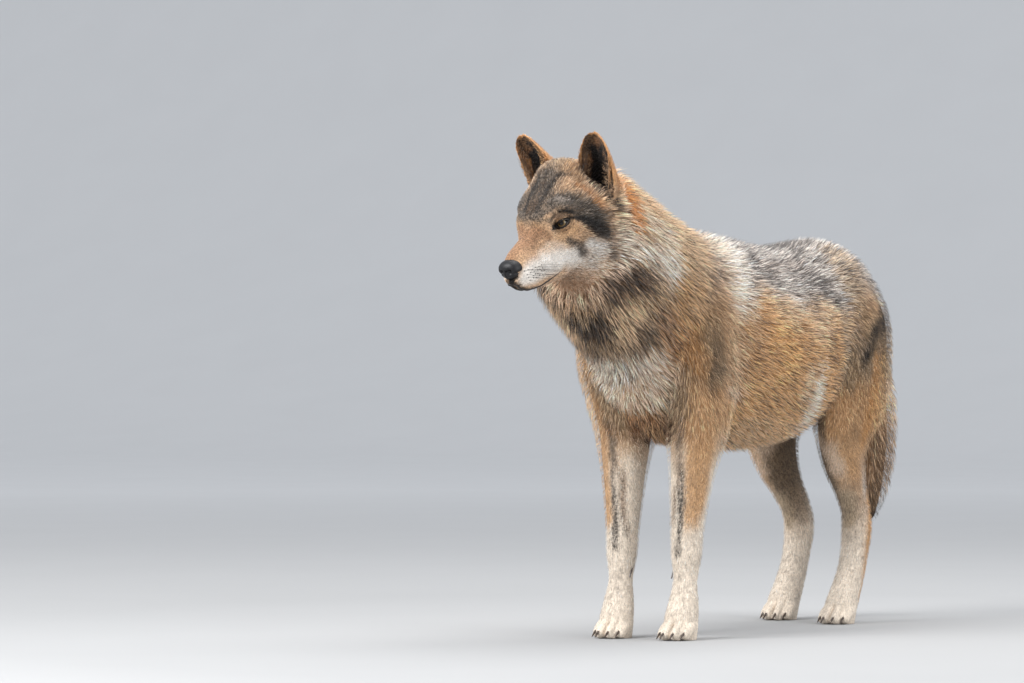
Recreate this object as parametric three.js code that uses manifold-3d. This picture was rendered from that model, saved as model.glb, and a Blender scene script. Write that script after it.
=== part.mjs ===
// A life-size timber wolf (grey wolf, Canis lupus) standing alert, as a still museum model.
// Every solid is an outline out to the tips of the winter coat: flesh plus the depth of the fur on it.
// Millimetres, +Z up. The wolf faces -Y, its left side is +X, and it stands on the floor at Z = 0.

import * as THREE from "three";
import { LoftGeometry } from "three/addons/geometries/LoftGeometry.js";
import { mergeVertices } from "three/addons/utils/BufferGeometryUtils.js";
import Module from "manifold-3d";

const wasm = await Module();
wasm.setup();

// ---------------------------------------------------------------- driving dimensions

const GAP = 0.4; // clearance between neighbouring solids
const CENTRE = [0, -84]; // middle of the model's box in plan, which becomes the origin

// The head's own frame has its origin in the nose pad, +Y back along the muzzle and +Z up.
const HEAD = { nose: [-50, -811, 700], nod: 20, turn: -11 }; // degrees: muzzle lowered, turned right
const EYE = { radius: 12.5, at: [38, 137, 41], hollow: [15, 20, 10] };
const EAR = { base: [55, 206, 84], tip: [93, 215, 186], halfWidth: 33, cup: 62, wall: 5, root: 0.2 };
const NOSE = { halfWidth: 20, up: 14, down: 18, depth: 27, drop: 5 };
const MOUTH = { front: [8, -32], sag: [26, -57], middle: [62, -57], corner: [114, -46], parting: 1.2 };

const HIND_STEP = { left: -36, right: 40 }; // how far back each hind foot stands of the square stance
const TOE = { radius: 12, spread: 11, length: 46 };
const CLAW = { radius: 3.6, length: 16 };
const DEWCLAW = { radius: 4, top: [47, -335, 138], tip: [45, -348, 116] }; // inside each foreleg's wrist

// A ring is one cross-section of the animal: its place, the half sizes of its flesh to the sides, to the
// back and to the belly, and the depth of the coat: all round, then on the belly side and on the flanks
// where they differ. Rings run from the head to the tail, and down each leg and the tail. On a leg,
// "back" is the rear of it and "belly" the front. Legs are listed as the left one stands.
const ring = (landmark, [x, y, z], [wide, back, belly], coat, fringe = coat, flank = coat) => ({
  landmark,
  values: [x, y, z, wide + flank, back + coat, belly + fringe],
});

const SKULL = [
  ring("lips", [0, 5, -17], [17, 18, 21], 1.5),
  ring("whisker pads", [0, 24, -15], [25, 31, 34], 3),
  ring("middle of the muzzle", [0, 52, -15], [27, 37, 42], 4),
  ring("root of the muzzle", [0, 82, -12], [30, 45, 51], 6),
  ring("stop", [0, 105, -4], [38, 52, 64], 8),
  ring("brow", [0, 128, 8], [47, 68, 80], 12, 14, 9),
  ring("forehead", [0, 156, 20], [58, 76, 92], 15, 22, 20),
  ring("cheekbones", [0, 186, 28], [64, 80, 98], 20, 28, 34),
  ring("crown", [0, 216, 34], [64, 78, 94], 28, 32, 44),
  ring("poll", [0, 246, 34], [56, 68, 80], 34, 30, 48),
];

const NECK = [
  ring("throat latch", [-20, -590, 792], [60, 78, 82], 54, 60, 56),
  ring("behind the head", [-12, -527, 742], [72, 88, 100], 54, 66, 60),
  ring("middle of the neck", [-4, -433, 686], [80, 98, 116], 54, 66, 56),
  ring("before the withers", [0, -332, 640], [88, 108, 130], 54, 64, 50),
  ring("root of the neck", [0, -225, 610], [92, 100, 118], 50),
];

const TRUNK = [
  ring("breastbone", [0, -442, 560], [38, 48, 48], 30),
  ring("front of the chest", [0, -408, 560], [72, 92, 92], 36, 42),
  ring("shoulder", [0, -330, 572], [108, 138, 144], 46, 52, 38),
  ring("withers and elbow", [0, -235, 577], [122, 152, 162], 52, 54, 36),
  ring("ribs", [0, -110, 569], [132, 146, 158], 58, 58, 38),
  ring("last rib", [0, 20, 567], [132, 140, 152], 50, 70, 38),
  ring("loin", [0, 150, 582], [118, 130, 142], 45, 80, 36),
  ring("waist", [0, 245, 602], [104, 122, 108], 42, 70, 34),
  ring("hips", [0, 345, 612], [104, 118, 92], 42, 40, 30),
  ring("croup", [0, 424, 610], [84, 98, 92], 36, 32, 26),
  ring("seat", [0, 474, 600], [44, 62, 74], 26, 26, 22),
];

const TAIL = [
  ring("root of the tail", [0, 436, 668], [24, 24, 24], 18),
  ring("set of the tail", [0, 484, 628], [24, 24, 24], 26),
  ring("upper tail", [0, 540, 545], [21, 21, 21], 36),
  ring("middle of the tail", [0, 582, 450], [19, 19, 19], 42),
  ring("lower tail", [0, 595, 350], [15, 15, 15], 41),
  ring("brush", [0, 598, 265], [9, 9, 9], 32),
  ring("tip of the tail", [0, 600, 205], [4, 4, 4], 13),
];

const FORELEG = [
  ring("top of the shoulder blade", [64, -262, 680], [26, 40, 40], 10),
  ring("shoulder blade", [84, -305, 620], [40, 66, 66], 14),
  ring("point of the shoulder", [90, -330, 545], [44, 84, 70], 16),
  ring("upper arm", [86, -316, 470], [42, 80, 60], 16),
  ring("elbow", [79, -306, 405], [36, 54, 48], 14),
  ring("below the elbow", [75, -314, 350], [31, 42, 40], 12),
  ring("forearm", [72, -323, 285], [25, 30, 31], 9),
  ring("above the wrist", [70, -331, 215], [21, 24, 24], 7),
  ring("wrist", [70, -335, 160], [23, 24, 23], 5),
  ring("pastern", [70, -339, 112], [21, 20, 19], 4),
  ring("fetlock", [70, -346, 68], [27, 24, 24], 4),
  ring("ball of the foot", [70, -356, 30], [32, 27, 28], 3),
  ring("sole", [70, -357, -6], [30, 24, 26], 2),
];

const HINDLEG = [
  ring("hip", [66, 384, 664], [32, 50, 70], 12),
  ring("rump muscle", [84, 374, 605], [42, 72, 96], 14),
  ring("thigh", [92, 354, 530], [42, 90, 104], 16),
  ring("lower thigh", [93, 332, 450], [40, 88, 88], 17),
  ring("stifle", [91, 316, 385], [35, 66, 76], 15),
  ring("below the stifle", [89, 326, 330], [30, 48, 54], 12),
  ring("shank", [87, 360, 275], [24, 32, 36], 9),
  ring("above the hock", [85, 390, 228], [20, 30, 27], 7),
  ring("hock", [84, 400, 188], [23, 32, 26], 6),
  ring("cannon", [84, 391, 142], [21, 24, 24], 5),
  ring("lower cannon", [84, 374, 100], [22, 23, 23], 5),
  ring("fetlock", [84, 352, 64], [26, 27, 26], 4),
  ring("ball of the foot", [84, 328, 28], [31, 34, 28], 3),
  ring("sole", [84, 324, -6], [29, 28, 26], 2),
];

// The levels at which each leg is parted into its named lengths.
const LEG_CUTS = { fore: { elbow: 352, wrist: 116 }, hind: { stifle: 345, hock: 118 } };

// The four toes of a paw: the middle pair reaches further forward than the outer pair.
const TOES = [
  { name: "inner", across: -2.3, back: 15, size: 0.92 },
  { name: "second", across: -0.95, back: 0, size: 1 },
  { name: "third", across: 0.95, back: 0, size: 1 },
  { name: "outer", across: 2.3, back: 15, size: 0.92 },
];

// ---------------------------------------------------------------- from geometry to solids

/** The solid inside one closed geometry, turned the right way out. */
function solid(geometry) {
  const bare = new THREE.BufferGeometry();
  bare.setAttribute("position", geometry.getAttribute("position"));
  bare.setIndex(geometry.getIndex());
  const merged = mergeVertices(bare, 1e-3);
  const corners = merged.getIndex().array;
  const triangles = [];
  for (let i = 0; i < corners.length; i += 3) {
    const [a, b, c] = corners.slice(i, i + 3);
    if (a !== b && b !== c && c !== a) triangles.push(a, b, c);
  }
  const vertProperties = merged.getAttribute("position").array;
  const build = (list) =>
    new wasm.Manifold(new wasm.Mesh({ numProp: 3, vertProperties, triVerts: new Uint32Array(list) }));
  const made = build(triangles);
  return made.volume() > 0 ? made : build(triangles.reverse());
}

/** A mesh of a solid, in its own material. */
function mesh(name, shape, { color, roughness }) {
  const { vertProperties, triVerts } = shape.getMesh();
  const geometry = new THREE.BufferGeometry();
  geometry.setAttribute("position", new THREE.BufferAttribute(vertProperties, 3));
  geometry.setIndex(new THREE.BufferAttribute(triVerts, 1));
  geometry.computeVertexNormals();
  const made = new THREE.Mesh(geometry, new THREE.MeshStandardMaterial({ color, roughness, metalness: 0 }));
  made.name = name;
  return made;
}

const cut = (shape, others) => others.reduce((rest, other) => rest.subtract(other), shape);
const join = (shapes) => shapes.reduce((all, next) => all.add(next));

/** Catmull-Rom interpolation of every value of a list of rings, at t counted in rings. */
function between(rows, t) {
  const i = Math.min(Math.floor(t), rows.length - 2);
  const f = t - i;
  const row = (k) => rows[Math.max(0, Math.min(rows.length - 1, k))];
  return row(i).map((b, k) => {
    const [a, c, d] = [row(i - 1)[k], row(i + 1)[k], row(i + 2)[k]];
    return b + 0.5 * f * (c - a + f * (2 * a - 5 * b + 4 * c - d + f * (3 * (b - c) + d - a)));
  });
}

/**
 * A closed solid lofted through rings. Each section is an oval square to the centre line, with its own
 * size to the sides, back and belly. `domes` rounds off the two ends by that depth, and `grow` makes the
 * solid larger all round.
 */
function loft(rings, { around = 20, steps = 2, grow = 0, domes = [12, 12], rounding = [35, 65], mirror = false }) {
  const rows = rings.map((r) => r.values.map((v, k) => (k > 2 ? v + grow : v)));
  const last = rows.length - 1;
  const side = new THREE.Vector3(1, 0, 0);
  const oval = (t, scale, push) => {
    const [x, y, z, wide, back, belly] = between(rows, t);
    const [ahead, behind] = [Math.min(t + 0.01, last), Math.max(t - 0.01, 0)].map(
      (s) => new THREE.Vector3(...between(rows, s).slice(0, 3)),
    );
    const along = ahead.sub(behind).normalize();
    const across = side.clone().addScaledVector(along, -side.dot(along)).normalize();
    const up = across.clone().cross(along);
    return Array.from({ length: around }, (_, k) => {
      const turn = ((mirror ? 1 : -1) * k * 2 * Math.PI) / around; // so that the walls face outwards
      const [c, s] = [Math.cos(turn), Math.sin(turn)];
      const p = new THREE.Vector3(x, y, z)
        .addScaledVector(along, push)
        .addScaledVector(across, wide * scale * c)
        .addScaledVector(up, (s > 0 ? back : belly) * scale * s);
      return p.setX(mirror ? -p.x : p.x);
    });
  };
  const body = Array.from({ length: last * steps + 1 }, (_, k) => oval(k / steps, 1, 0));
  const dome = (t, depth) =>
    rounding.map(THREE.MathUtils.degToRad).map((a) => oval(t, Math.cos(a), depth * Math.sin(a)));
  const start = domes[0] ? dome(0, -domes[0] - grow).reverse() : [];
  const end = domes[1] ? dome(last, domes[1] + grow) : [];
  return solid(new LoftGeometry([...start, ...body, ...end], { capStart: true, capEnd: true }));
}

/** An ellipsoid of these half sizes at this point. */
function ellipsoid([x, y, z], [a, b, c], detail = [10, 7]) {
  return solid(new THREE.SphereGeometry(1, ...detail).rotateX(Math.PI / 2).scale(a, b, c).translate(x, y, z));
}

/** A level slab across the whole animal, to part a leg at or to cut a paw flat with. */
function slab(bottom, top) {
  const wide = 2000;
  return solid(new THREE.BoxGeometry(wide, wide, top - bottom).translate(0, 0, (top + bottom) / 2));
}

// ---------------------------------------------------------------- head, jaw, eyes, nose and ears

const skullShape = (grow) => loft(SKULL, { around: 18, domes: [4, 44], grow });

/** An eyeball, or the socket that it lies in when it is grown. */
function eyeball(sign, grow = 0) {
  const [x, y, z] = EYE.at;
  const r = EYE.radius + grow;
  return ellipsoid([sign * x, y, z], [r, r, r]);
}

/** The hollow in front of an eye, between the brow and the cheek. */
function eyeHollow(sign) {
  const [x, y, z] = EYE.at;
  return ellipsoid([sign * (x + 14), y - 12, z], EYE.hollow, [8, 6]);
}

/** The bare nose pad: a squarish dome with its flat side against the muzzle. */
function nosePad(grow = 0) {
  const pad = [
    ring("front", [0, -3, -NOSE.drop], [NOSE.halfWidth - 4, NOSE.up - 3, NOSE.down - 3], 0),
    ring("widest", [0, 6, -NOSE.drop], [NOSE.halfWidth, NOSE.up, NOSE.down], 0),
    ring("against the muzzle", [0, NOSE.depth, 2], [NOSE.halfWidth - 4, NOSE.up, NOSE.down - 4], 0),
  ];
  return loft(pad, { around: 14, steps: 1, domes: [5, 3], grow });
}

/** What lies below the line of the mouth, as a block across the muzzle, to part the lower jaw with. */
function belowMouth(lower) {
  const [[fy, fz], [sy, sz], [my, mz], [cy, cz]] = [MOUTH.front, MOUTH.sag, MOUTH.middle, MOUTH.corner];
  const wide = 160;
  const deep = -140;
  const outline = new THREE.Shape();
  outline.moveTo(-30, fz - lower);
  outline.lineTo(fy, fz - lower);
  outline.quadraticCurveTo(sy, sz - lower, my, mz - lower);
  outline.lineTo(cy - lower, cz - lower);
  outline.lineTo(cy + 10 - lower, deep);
  outline.lineTo(-30, deep);
  const block = new THREE.ExtrudeGeometry(outline, { depth: wide, bevelEnabled: false, curveSegments: 5 });
  return solid(block.translate(0, 0, -wide / 2).rotateX(Math.PI / 2).rotateZ(Math.PI / 2));
}

/** An upright ear: a cupped leaf that opens forwards and outwards, with a rounded back. */
function ear(sign, grow = 0) {
  const base = new THREE.Vector3(...EAR.base);
  const axis = new THREE.Vector3(...EAR.tip).sub(base);
  const along = axis.clone().normalize();
  const open = new THREE.Vector3(0.2, -1, 0.1);
  open.addScaledVector(along, -open.dot(along)).normalize();
  const across = along.clone().cross(open);
  const steps = 8;
  const rim = 80 + 2.5 * grow; // degrees round the cup at which its rear wall ends
  const leaf = Array.from({ length: steps + 1 }, (_, i) => {
    const h = -EAR.root + ((1 + EAR.root) * i) / steps;
    const rise = Math.max(h, 0);
    const width = EAR.halfWidth * (1 + 0.35 * rise) * Math.sqrt(Math.max(1 - rise ** 2.2, 0.012));
    const cup = EAR.cup * (1 - 0.8 * rise);
    const wall = EAR.wall * (1 - 0.5 * rise);
    const centre = base.clone().addScaledVector(axis, h).addScaledVector(along, i === 0 ? -grow : 0);
    const arc = (angle, half, depth) => {
      const turn = THREE.MathUtils.degToRad(angle);
      const p = centre.clone().addScaledVector(across, half * Math.sin(turn));
      p.addScaledVector(open, -depth * Math.cos(turn));
      return p.setX(p.x * sign);
    };
    const rear = [-rim, -40, 0, 40, rim].map((angle) => arc(angle, width + grow, cup + wall + grow));
    const front = [66, 22, -22, -66].map((angle) => arc(angle, 0.88 * width - grow, cup - grow));
    return sign > 0 ? [...rear, ...front].reverse() : [...rear, ...front];
  });
  return solid(new LoftGeometry(leaf, { capStart: true, capEnd: true }));
}

const headHollows = [-1, 1].flatMap((sign) => [eyeball(sign, GAP), eyeHollow(sign), ear(sign, 2 * GAP)]);
const wholeHead = cut(skullShape(0), [...headHollows, nosePad(GAP)]);
const headGroup = new THREE.Group();
headGroup.position.set(...HEAD.nose);
headGroup.rotation.set(THREE.MathUtils.degToRad(HEAD.nod), 0, THREE.MathUtils.degToRad(HEAD.turn), "ZXY");
headGroup.updateMatrix();

// ---------------------------------------------------------------- legs and paws

/** A hind leg's rings with the foot moved back by `step`, and what is above it by less and less. */
function stepped(rings, step) {
  const [hip, hock] = [620, 188];
  return rings.map((r) => {
    const [x, y, z, ...sizes] = r.values;
    const share = THREE.MathUtils.clamp((hip - z) / (hip - hock), 0, 1);
    return { ...r, values: [x, y + step * share, z, ...sizes] };
  });
}

/** One toe: an arched sausage from the ball of the foot to the claw, sunk a little below the floor. */
function toe(x, y, { across, back, size }, grow = 0) {
  const r = TOE.radius * size;
  const toeX = x + across * TOE.spread;
  const bones = [
    ring("knuckle", [0.1 * x + 0.9 * toeX, y - 8 + back, 30], [r, r, r], 0),
    ring("middle joint", [toeX, y - 0.65 * TOE.length + back, 22], [r, r, r], 0),
    ring("toe end", [toeX, y - TOE.length + back, 8.5], [0.86 * r, 0.9 * r, 0.9 * r], 0),
  ];
  return loft(bones, { around: 6, steps: 1, domes: [0, 9], rounding: [50], grow });
}

/** A claw: a blunt hook out of the toe's end, curving down to just above the floor. */
function claw(x, y, place) {
  const start = y - TOE.length + place.back - 3;
  const hook = [0, 0.5, 1].map((t) => {
    const r = CLAW.radius * place.size * (1 - 0.7 * t);
    const drop = 14 - 10 * t ** 1.6;
    return ring("claw", [x + place.across * TOE.spread, start - CLAW.length * t, drop], [r, r, r], 0);
  });
  return loft(hook, { around: 5, steps: 1, domes: [0, 1], rounding: [50] }).subtract(toe(x, y, place, GAP));
}

/** The dewclaw on the inner side of the left wrist, its root cut to lie against the leg. */
function dewclaw(room) {
  const lengths = [0, 0.6, 1];
  const [top, tip] = [DEWCLAW.top, DEWCLAW.tip].map((place) => new THREE.Vector3(...place));
  const hook = lengths.map((t) => {
    const r = DEWCLAW.radius * (1 - 0.65 * t);
    return ring("dewclaw", top.clone().lerp(tip, t).toArray(), [r, r, r], 0);
  });
  return loft(hook, { around: 6, steps: 1, domes: [2, 1], rounding: [50] }).subtract(room);
}

/** A leg's solids: its three named lengths, its four claws, and the grown leg that others are cut by. */
function leg(rings, { upper, lower }, mirror) {
  const side = (shape) => (mirror ? shape.mirror([1, 0, 0]) : shape);
  const shape = (grow) => loft(rings, { around: 12, steps: 1, domes: [14, 0], mirror, grow });
  const [x, y] = rings.find((r) => r.landmark === "ball of the foot").values;
  const foot = join([shape(0).intersect(slab(-50, lower - GAP)), ...TOES.map((t) => side(toe(x, y, t)))]);
  return {
    upper: shape(0).subtract(slab(-50, upper)),
    middle: shape(0).intersect(slab(lower, upper - GAP)),
    paw: foot.subtract(slab(-50, 0)),
    claws: TOES.map((t) => side(claw(x, y, t))),
    room: shape(GAP),
  };
}

const foreCuts = { upper: LEG_CUTS.fore.elbow, lower: LEG_CUTS.fore.wrist };
const hindCuts = { upper: LEG_CUTS.hind.stifle, lower: LEG_CUTS.hind.hock };
const legs = {
  foreleg_left: leg(FORELEG, foreCuts, false),
  foreleg_right: leg(FORELEG, foreCuts, true),
  hindleg_left: leg(stepped(HINDLEG, HIND_STEP.left), hindCuts, false),
  hindleg_right: leg(stepped(HINDLEG, HIND_STEP.right), hindCuts, true),
};

// ---------------------------------------------------------------- neck, trunk and tail

const tailShape = (grow) => loft(TAIL, { around: 12, steps: 1, domes: [10, 12], rounding: [50], grow });
const neckShape = (grow) => loft(NECK, { around: 18, domes: [20, 30], rounding: [50], grow });
const legRoom = Object.values(legs).map((one) => one.room);
const dewclawLeft = dewclaw(legs.foreleg_left.room);
const headRoom = skullShape(GAP).transform(headGroup.matrix.elements);
const neck = cut(neckShape(0), [headRoom, ...legRoom]);
const trunk = cut(loft(TRUNK, { around: 18, steps: 1, domes: [22, 22] }), [neckShape(GAP), tailShape(GAP), ...legRoom]);

// ---------------------------------------------------------------- the model

const FINISH = {
  fawn: { color: 0xb9a387, roughness: 0.95 },
  silver: { color: 0x9b9388, roughness: 0.95 },
  cream: { color: 0xd8cbb5, roughness: 0.95 },
  ochre: { color: 0xa98a63, roughness: 0.95 },
  rust: { color: 0x9a6a42, roughness: 0.95 },
  nosePad: { color: 0x2b2b30, roughness: 0.45 },
  amber: { color: 0xa8842c, roughness: 0.1 },
  claw: { color: 0x2c2723, roughness: 0.5 },
};

headGroup.add(
  mesh("head", wholeHead.subtract(belowMouth(0)), FINISH.fawn),
  mesh("lower_jaw", wholeHead.intersect(belowMouth(MOUTH.parting)), FINISH.cream),
  mesh("nose", nosePad(), FINISH.nosePad),
  mesh("eye_left", eyeball(1), FINISH.amber),
  mesh("eye_right", eyeball(-1), FINISH.amber),
  mesh("ear_left", ear(1), FINISH.rust),
  mesh("ear_right", ear(-1), FINISH.rust),
);

const group = new THREE.Group();
group.position.set(-CENTRE[0], -CENTRE[1], 0);
group.add(headGroup);
group.add(mesh("neck", neck, FINISH.fawn));
group.add(mesh("trunk", trunk, FINISH.silver));
group.add(mesh("tail", tailShape(0), FINISH.ochre));
for (const [name, { upper, middle, paw, claws }] of Object.entries(legs)) {
  const [upperName, middleName] = name.startsWith("fore") ? ["shoulder", "forearm"] : ["thigh", "shank"];
  group.add(mesh(`${name}_${upperName}`, upper, FINISH.ochre));
  group.add(mesh(`${name}_${middleName}`, middle, FINISH.fawn));
  group.add(mesh(`${name}_paw`, paw, FINISH.cream));
  TOES.forEach((t, i) => group.add(mesh(`${name}_claw_${t.name}`, claws[i], FINISH.claw)));
}

group.add(mesh("foreleg_left_dewclaw", dewclawLeft, FINISH.claw));
group.add(mesh("foreleg_right_dewclaw", dewclawLeft.mirror([1, 0, 0]), FINISH.claw));

export default group;
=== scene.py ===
import math

import bpy
import numpy as np
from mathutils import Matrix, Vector


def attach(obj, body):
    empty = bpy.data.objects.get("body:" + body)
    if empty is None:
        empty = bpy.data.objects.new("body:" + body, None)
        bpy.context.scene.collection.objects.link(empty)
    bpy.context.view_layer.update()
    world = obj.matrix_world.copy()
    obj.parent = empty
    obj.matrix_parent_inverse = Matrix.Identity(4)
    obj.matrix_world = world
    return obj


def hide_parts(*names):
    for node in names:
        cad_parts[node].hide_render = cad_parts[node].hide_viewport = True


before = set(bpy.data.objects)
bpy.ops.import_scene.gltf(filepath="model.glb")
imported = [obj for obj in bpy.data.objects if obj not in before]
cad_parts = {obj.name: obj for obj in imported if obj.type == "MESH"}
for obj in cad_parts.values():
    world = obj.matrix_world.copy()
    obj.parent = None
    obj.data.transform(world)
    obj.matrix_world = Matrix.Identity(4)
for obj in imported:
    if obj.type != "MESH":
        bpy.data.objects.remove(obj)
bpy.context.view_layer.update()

# ---------------------------------------------------------------- the form under the coat
# A museum mount starts from a carved form, shaped like the animal without its guard hairs. Each body
# part is a row of oval cross-sections in millimetres: the wolf faces -Y, its left is +X, the floor is Z = 0.
# All parts are joined and cast as one surface, which the tanned skin is drawn over.

MM = 0.001
CENTRE = np.array([0.0, -84.0, 0.0])  # middle of the model in plan, which becomes the origin
UNDERFUR = 0.5  # share of the coat's depth that is dense underfur, which the skin's surface stands for
CAST = 2.6  # mm between the points of the cast surface


def unit(vectors):
    """Each vector divided by its own length."""
    return vectors / np.maximum(np.linalg.norm(vectors, axis=-1, keepdims=True), 1e-9)


def ring(place, sizes, coat, fringe=None, flank=None):
    """One cross-section: its centre, its half sizes to the sides, back and belly, and the coat on each."""
    fringe = coat if fringe is None else fringe
    flank = coat if flank is None else flank
    return np.array([*place, *sizes, flank, coat, fringe], float)


SKULL = np.array([
    ring([0, 5, -17], [17, 18, 21], 1.5),
    ring([0, 24, -15], [25, 31, 34], 3),
    ring([0, 52, -15], [27, 37, 42], 4),
    ring([0, 82, -12], [30, 45, 51], 6),
    ring([0, 105, -4], [38, 52, 64], 8),
    ring([0, 128, 8], [47, 68, 80], 12, 14, 9),
    ring([0, 156, 20], [58, 76, 92], 15, 22, 20),
    ring([0, 186, 28], [64, 80, 98], 20, 28, 34),
    ring([0, 216, 34], [64, 78, 94], 28, 32, 44),
    ring([0, 246, 34], [56, 68, 80], 34, 30, 48),
])
NECK = np.array([
    ring([-20, -590, 792], [60, 78, 82], 54, 60, 56),
    ring([-12, -527, 742], [72, 88, 100], 54, 66, 60),
    ring([-4, -433, 686], [80, 98, 116], 54, 66, 56),
    ring([0, -332, 640], [88, 108, 130], 54, 64, 50),
    ring([0, -225, 610], [92, 100, 118], 50),
])
TRUNK = np.array([
    ring([0, -442, 560], [38, 48, 48], 30),
    ring([0, -408, 560], [72, 92, 92], 36, 42),
    ring([0, -330, 572], [108, 138, 144], 46, 52, 38),
    ring([0, -235, 577], [122, 152, 162], 52, 54, 36),
    ring([0, -110, 569], [132, 146, 158], 58, 58, 38),
    ring([0, 20, 567], [132, 140, 152], 50, 70, 38),
    ring([0, 150, 582], [118, 130, 142], 45, 80, 36),
    ring([0, 245, 602], [104, 122, 108], 42, 70, 34),
    ring([0, 345, 612], [104, 118, 92], 42, 40, 30),
    ring([0, 424, 610], [84, 98, 92], 36, 32, 26),
    ring([0, 474, 600], [44, 62, 74], 26, 26, 22),
])
TAIL = np.array([
    ring([0, 436, 668], [24, 24, 24], 18),
    ring([0, 484, 628], [24, 24, 24], 26),
    ring([0, 540, 545], [21, 21, 21], 36),
    ring([0, 582, 450], [19, 19, 19], 42),
    ring([0, 595, 350], [15, 15, 15], 41),
    ring([0, 598, 265], [9, 9, 9], 32),
    ring([0, 600, 205], [4, 4, 4], 13),
])
FORELEG = np.array([
    ring([64, -262, 680], [26, 40, 40], 10),
    ring([84, -305, 620], [40, 66, 66], 14),
    ring([90, -330, 545], [44, 84, 70], 16),
    ring([86, -316, 470], [42, 80, 60], 16),
    ring([79, -306, 405], [40, 58, 50], 15),
    ring([75, -314, 350], [36, 48, 44], 13),
    ring([72, -323, 285], [31, 37, 35], 10),
    ring([70, -331, 215], [26, 30, 28], 8),
    ring([70, -335, 160], [25, 28, 26], 6),
    ring([70, -339, 112], [21, 20, 19], 4),
    ring([70, -346, 68], [27, 24, 24], 4),
    ring([70, -356, 30], [32, 27, 28], 3),
    ring([70, -357, -6], [30, 24, 26], 2),
])
HINDLEG = np.array([
    ring([66, 384, 664], [32, 50, 70], 12),
    ring([84, 374, 605], [42, 72, 96], 14),
    ring([92, 354, 530], [42, 90, 104], 16),
    ring([93, 332, 450], [40, 88, 88], 17),
    ring([91, 316, 385], [35, 66, 76], 15),
    ring([89, 326, 330], [30, 48, 54], 12),
    ring([87, 360, 275], [24, 32, 36], 9),
    ring([85, 390, 228], [22, 34, 28], 8),
    ring([84, 400, 188], [24, 37, 28], 7),
    ring([84, 391, 142], [23, 31, 26], 6),
    ring([84, 374, 100], [24, 30, 25], 5),
    ring([84, 352, 64], [27, 31, 27], 4),
    ring([84, 328, 28], [31, 34, 28], 3),
    ring([84, 324, -6], [29, 28, 26], 2),
])
HIND_STEP = {1: -36, -1: 40}  # how far back each hind foot, left and right, stands of the square stance
TOES = [(-2.3, 15, 0.92), (-0.95, 0, 1), (0.95, 0, 1), (2.3, 15, 0.92)]  # across, back and size
TOE_RADIUS, TOE_SPREAD, TOE_LENGTH = 11.5, 11, 45

HEAD_AT = np.array([-50.0, -811.0, 700.0])  # the nose, where the head's own axes start
NOD, TURN = math.radians(20), math.radians(-11)
HEAD_TURN = np.array([
    [math.cos(TURN), -math.sin(TURN), 0], [math.sin(TURN), math.cos(TURN), 0], [0, 0, 1],
]) @ np.array([[1, 0, 0], [0, math.cos(NOD), -math.sin(NOD)], [0, math.sin(NOD), math.cos(NOD)]])
EAR_BASE, EAR_TIP = np.array([62.0, 208, 84]), np.array([86.0, 217, 188])
EAR_WIDTH, EAR_CUP, EAR_WALL = 43, 62, 6
EYE_AT, EYE_RADIUS = np.array([38.0, 137, 41]), 12.5
MOUTH = np.array([[0, -31], [8, -33], [20, -46], [36, -54], [62, -57], [90, -51], [112, -45], [127, -37]])


def to_head(points):
    """Points of the whole body, in the head's own axes: origin at the nose, +Y back, +Z up."""
    return (points - HEAD_AT) @ HEAD_TURN


def from_head(points):
    """Points in the head's own axes, back in the whole body's."""
    return points @ HEAD_TURN.T + HEAD_AT


def lean(points):
    """The wolf carries its right ear 9 mm further out than its left."""
    head = to_head(points)
    out = smoothly(head[:, 2], 96, 190) * smoothly(-head[:, 0], 20, 50) * (1 - smoothly(head[:, 1], 240, 280))
    return from_head(head - [9, 0, 0] * out[:, None])


def between(rows, t):
    """Catmull-Rom: every value of the rows runs smoothly through them, at t counted in rows."""
    i = np.clip(np.floor(t).astype(int), 0, len(rows) - 2)
    f = (t - i)[:, None]
    a, b, c, d = (rows[np.clip(i + k, 0, len(rows) - 1)] for k in (-1, 0, 1, 2))
    return b + 0.5 * f * (c - a + f * (2 * a - 5 * b + 4 * c - d + f * (3 * (b - c) + d - a)))


def axes_along(rows, t):
    """The centre line at t, the axes that go along, across and up from it, and the ring's own values."""
    last = len(rows) - 1
    here = between(rows, t)
    ahead, behind = between(rows, np.minimum(t + 0.01, last)), between(rows, np.maximum(t - 0.01, 0))
    along = unit((ahead - behind)[:, :3])
    across = unit(np.array([1.0, 0, 0]) - along * along[:, :1])
    return here[:, :3], along, across, np.cross(across, along), here[:, 3:]


def tube_faces(rows, around):
    """Quads between neighbouring rings of a tube of rows x around points, and a face over each end."""
    i, j = np.meshgrid(np.arange(rows - 1), np.arange(around), indexing="ij")
    a, b = i * around + j, i * around + (j + 1) % around
    quads = np.stack([a, b, b + around, a + around], -1).reshape(-1, 4).tolist()
    return [*quads, list(range(around))[::-1], list(range((rows - 1) * around, rows * around))]


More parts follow.
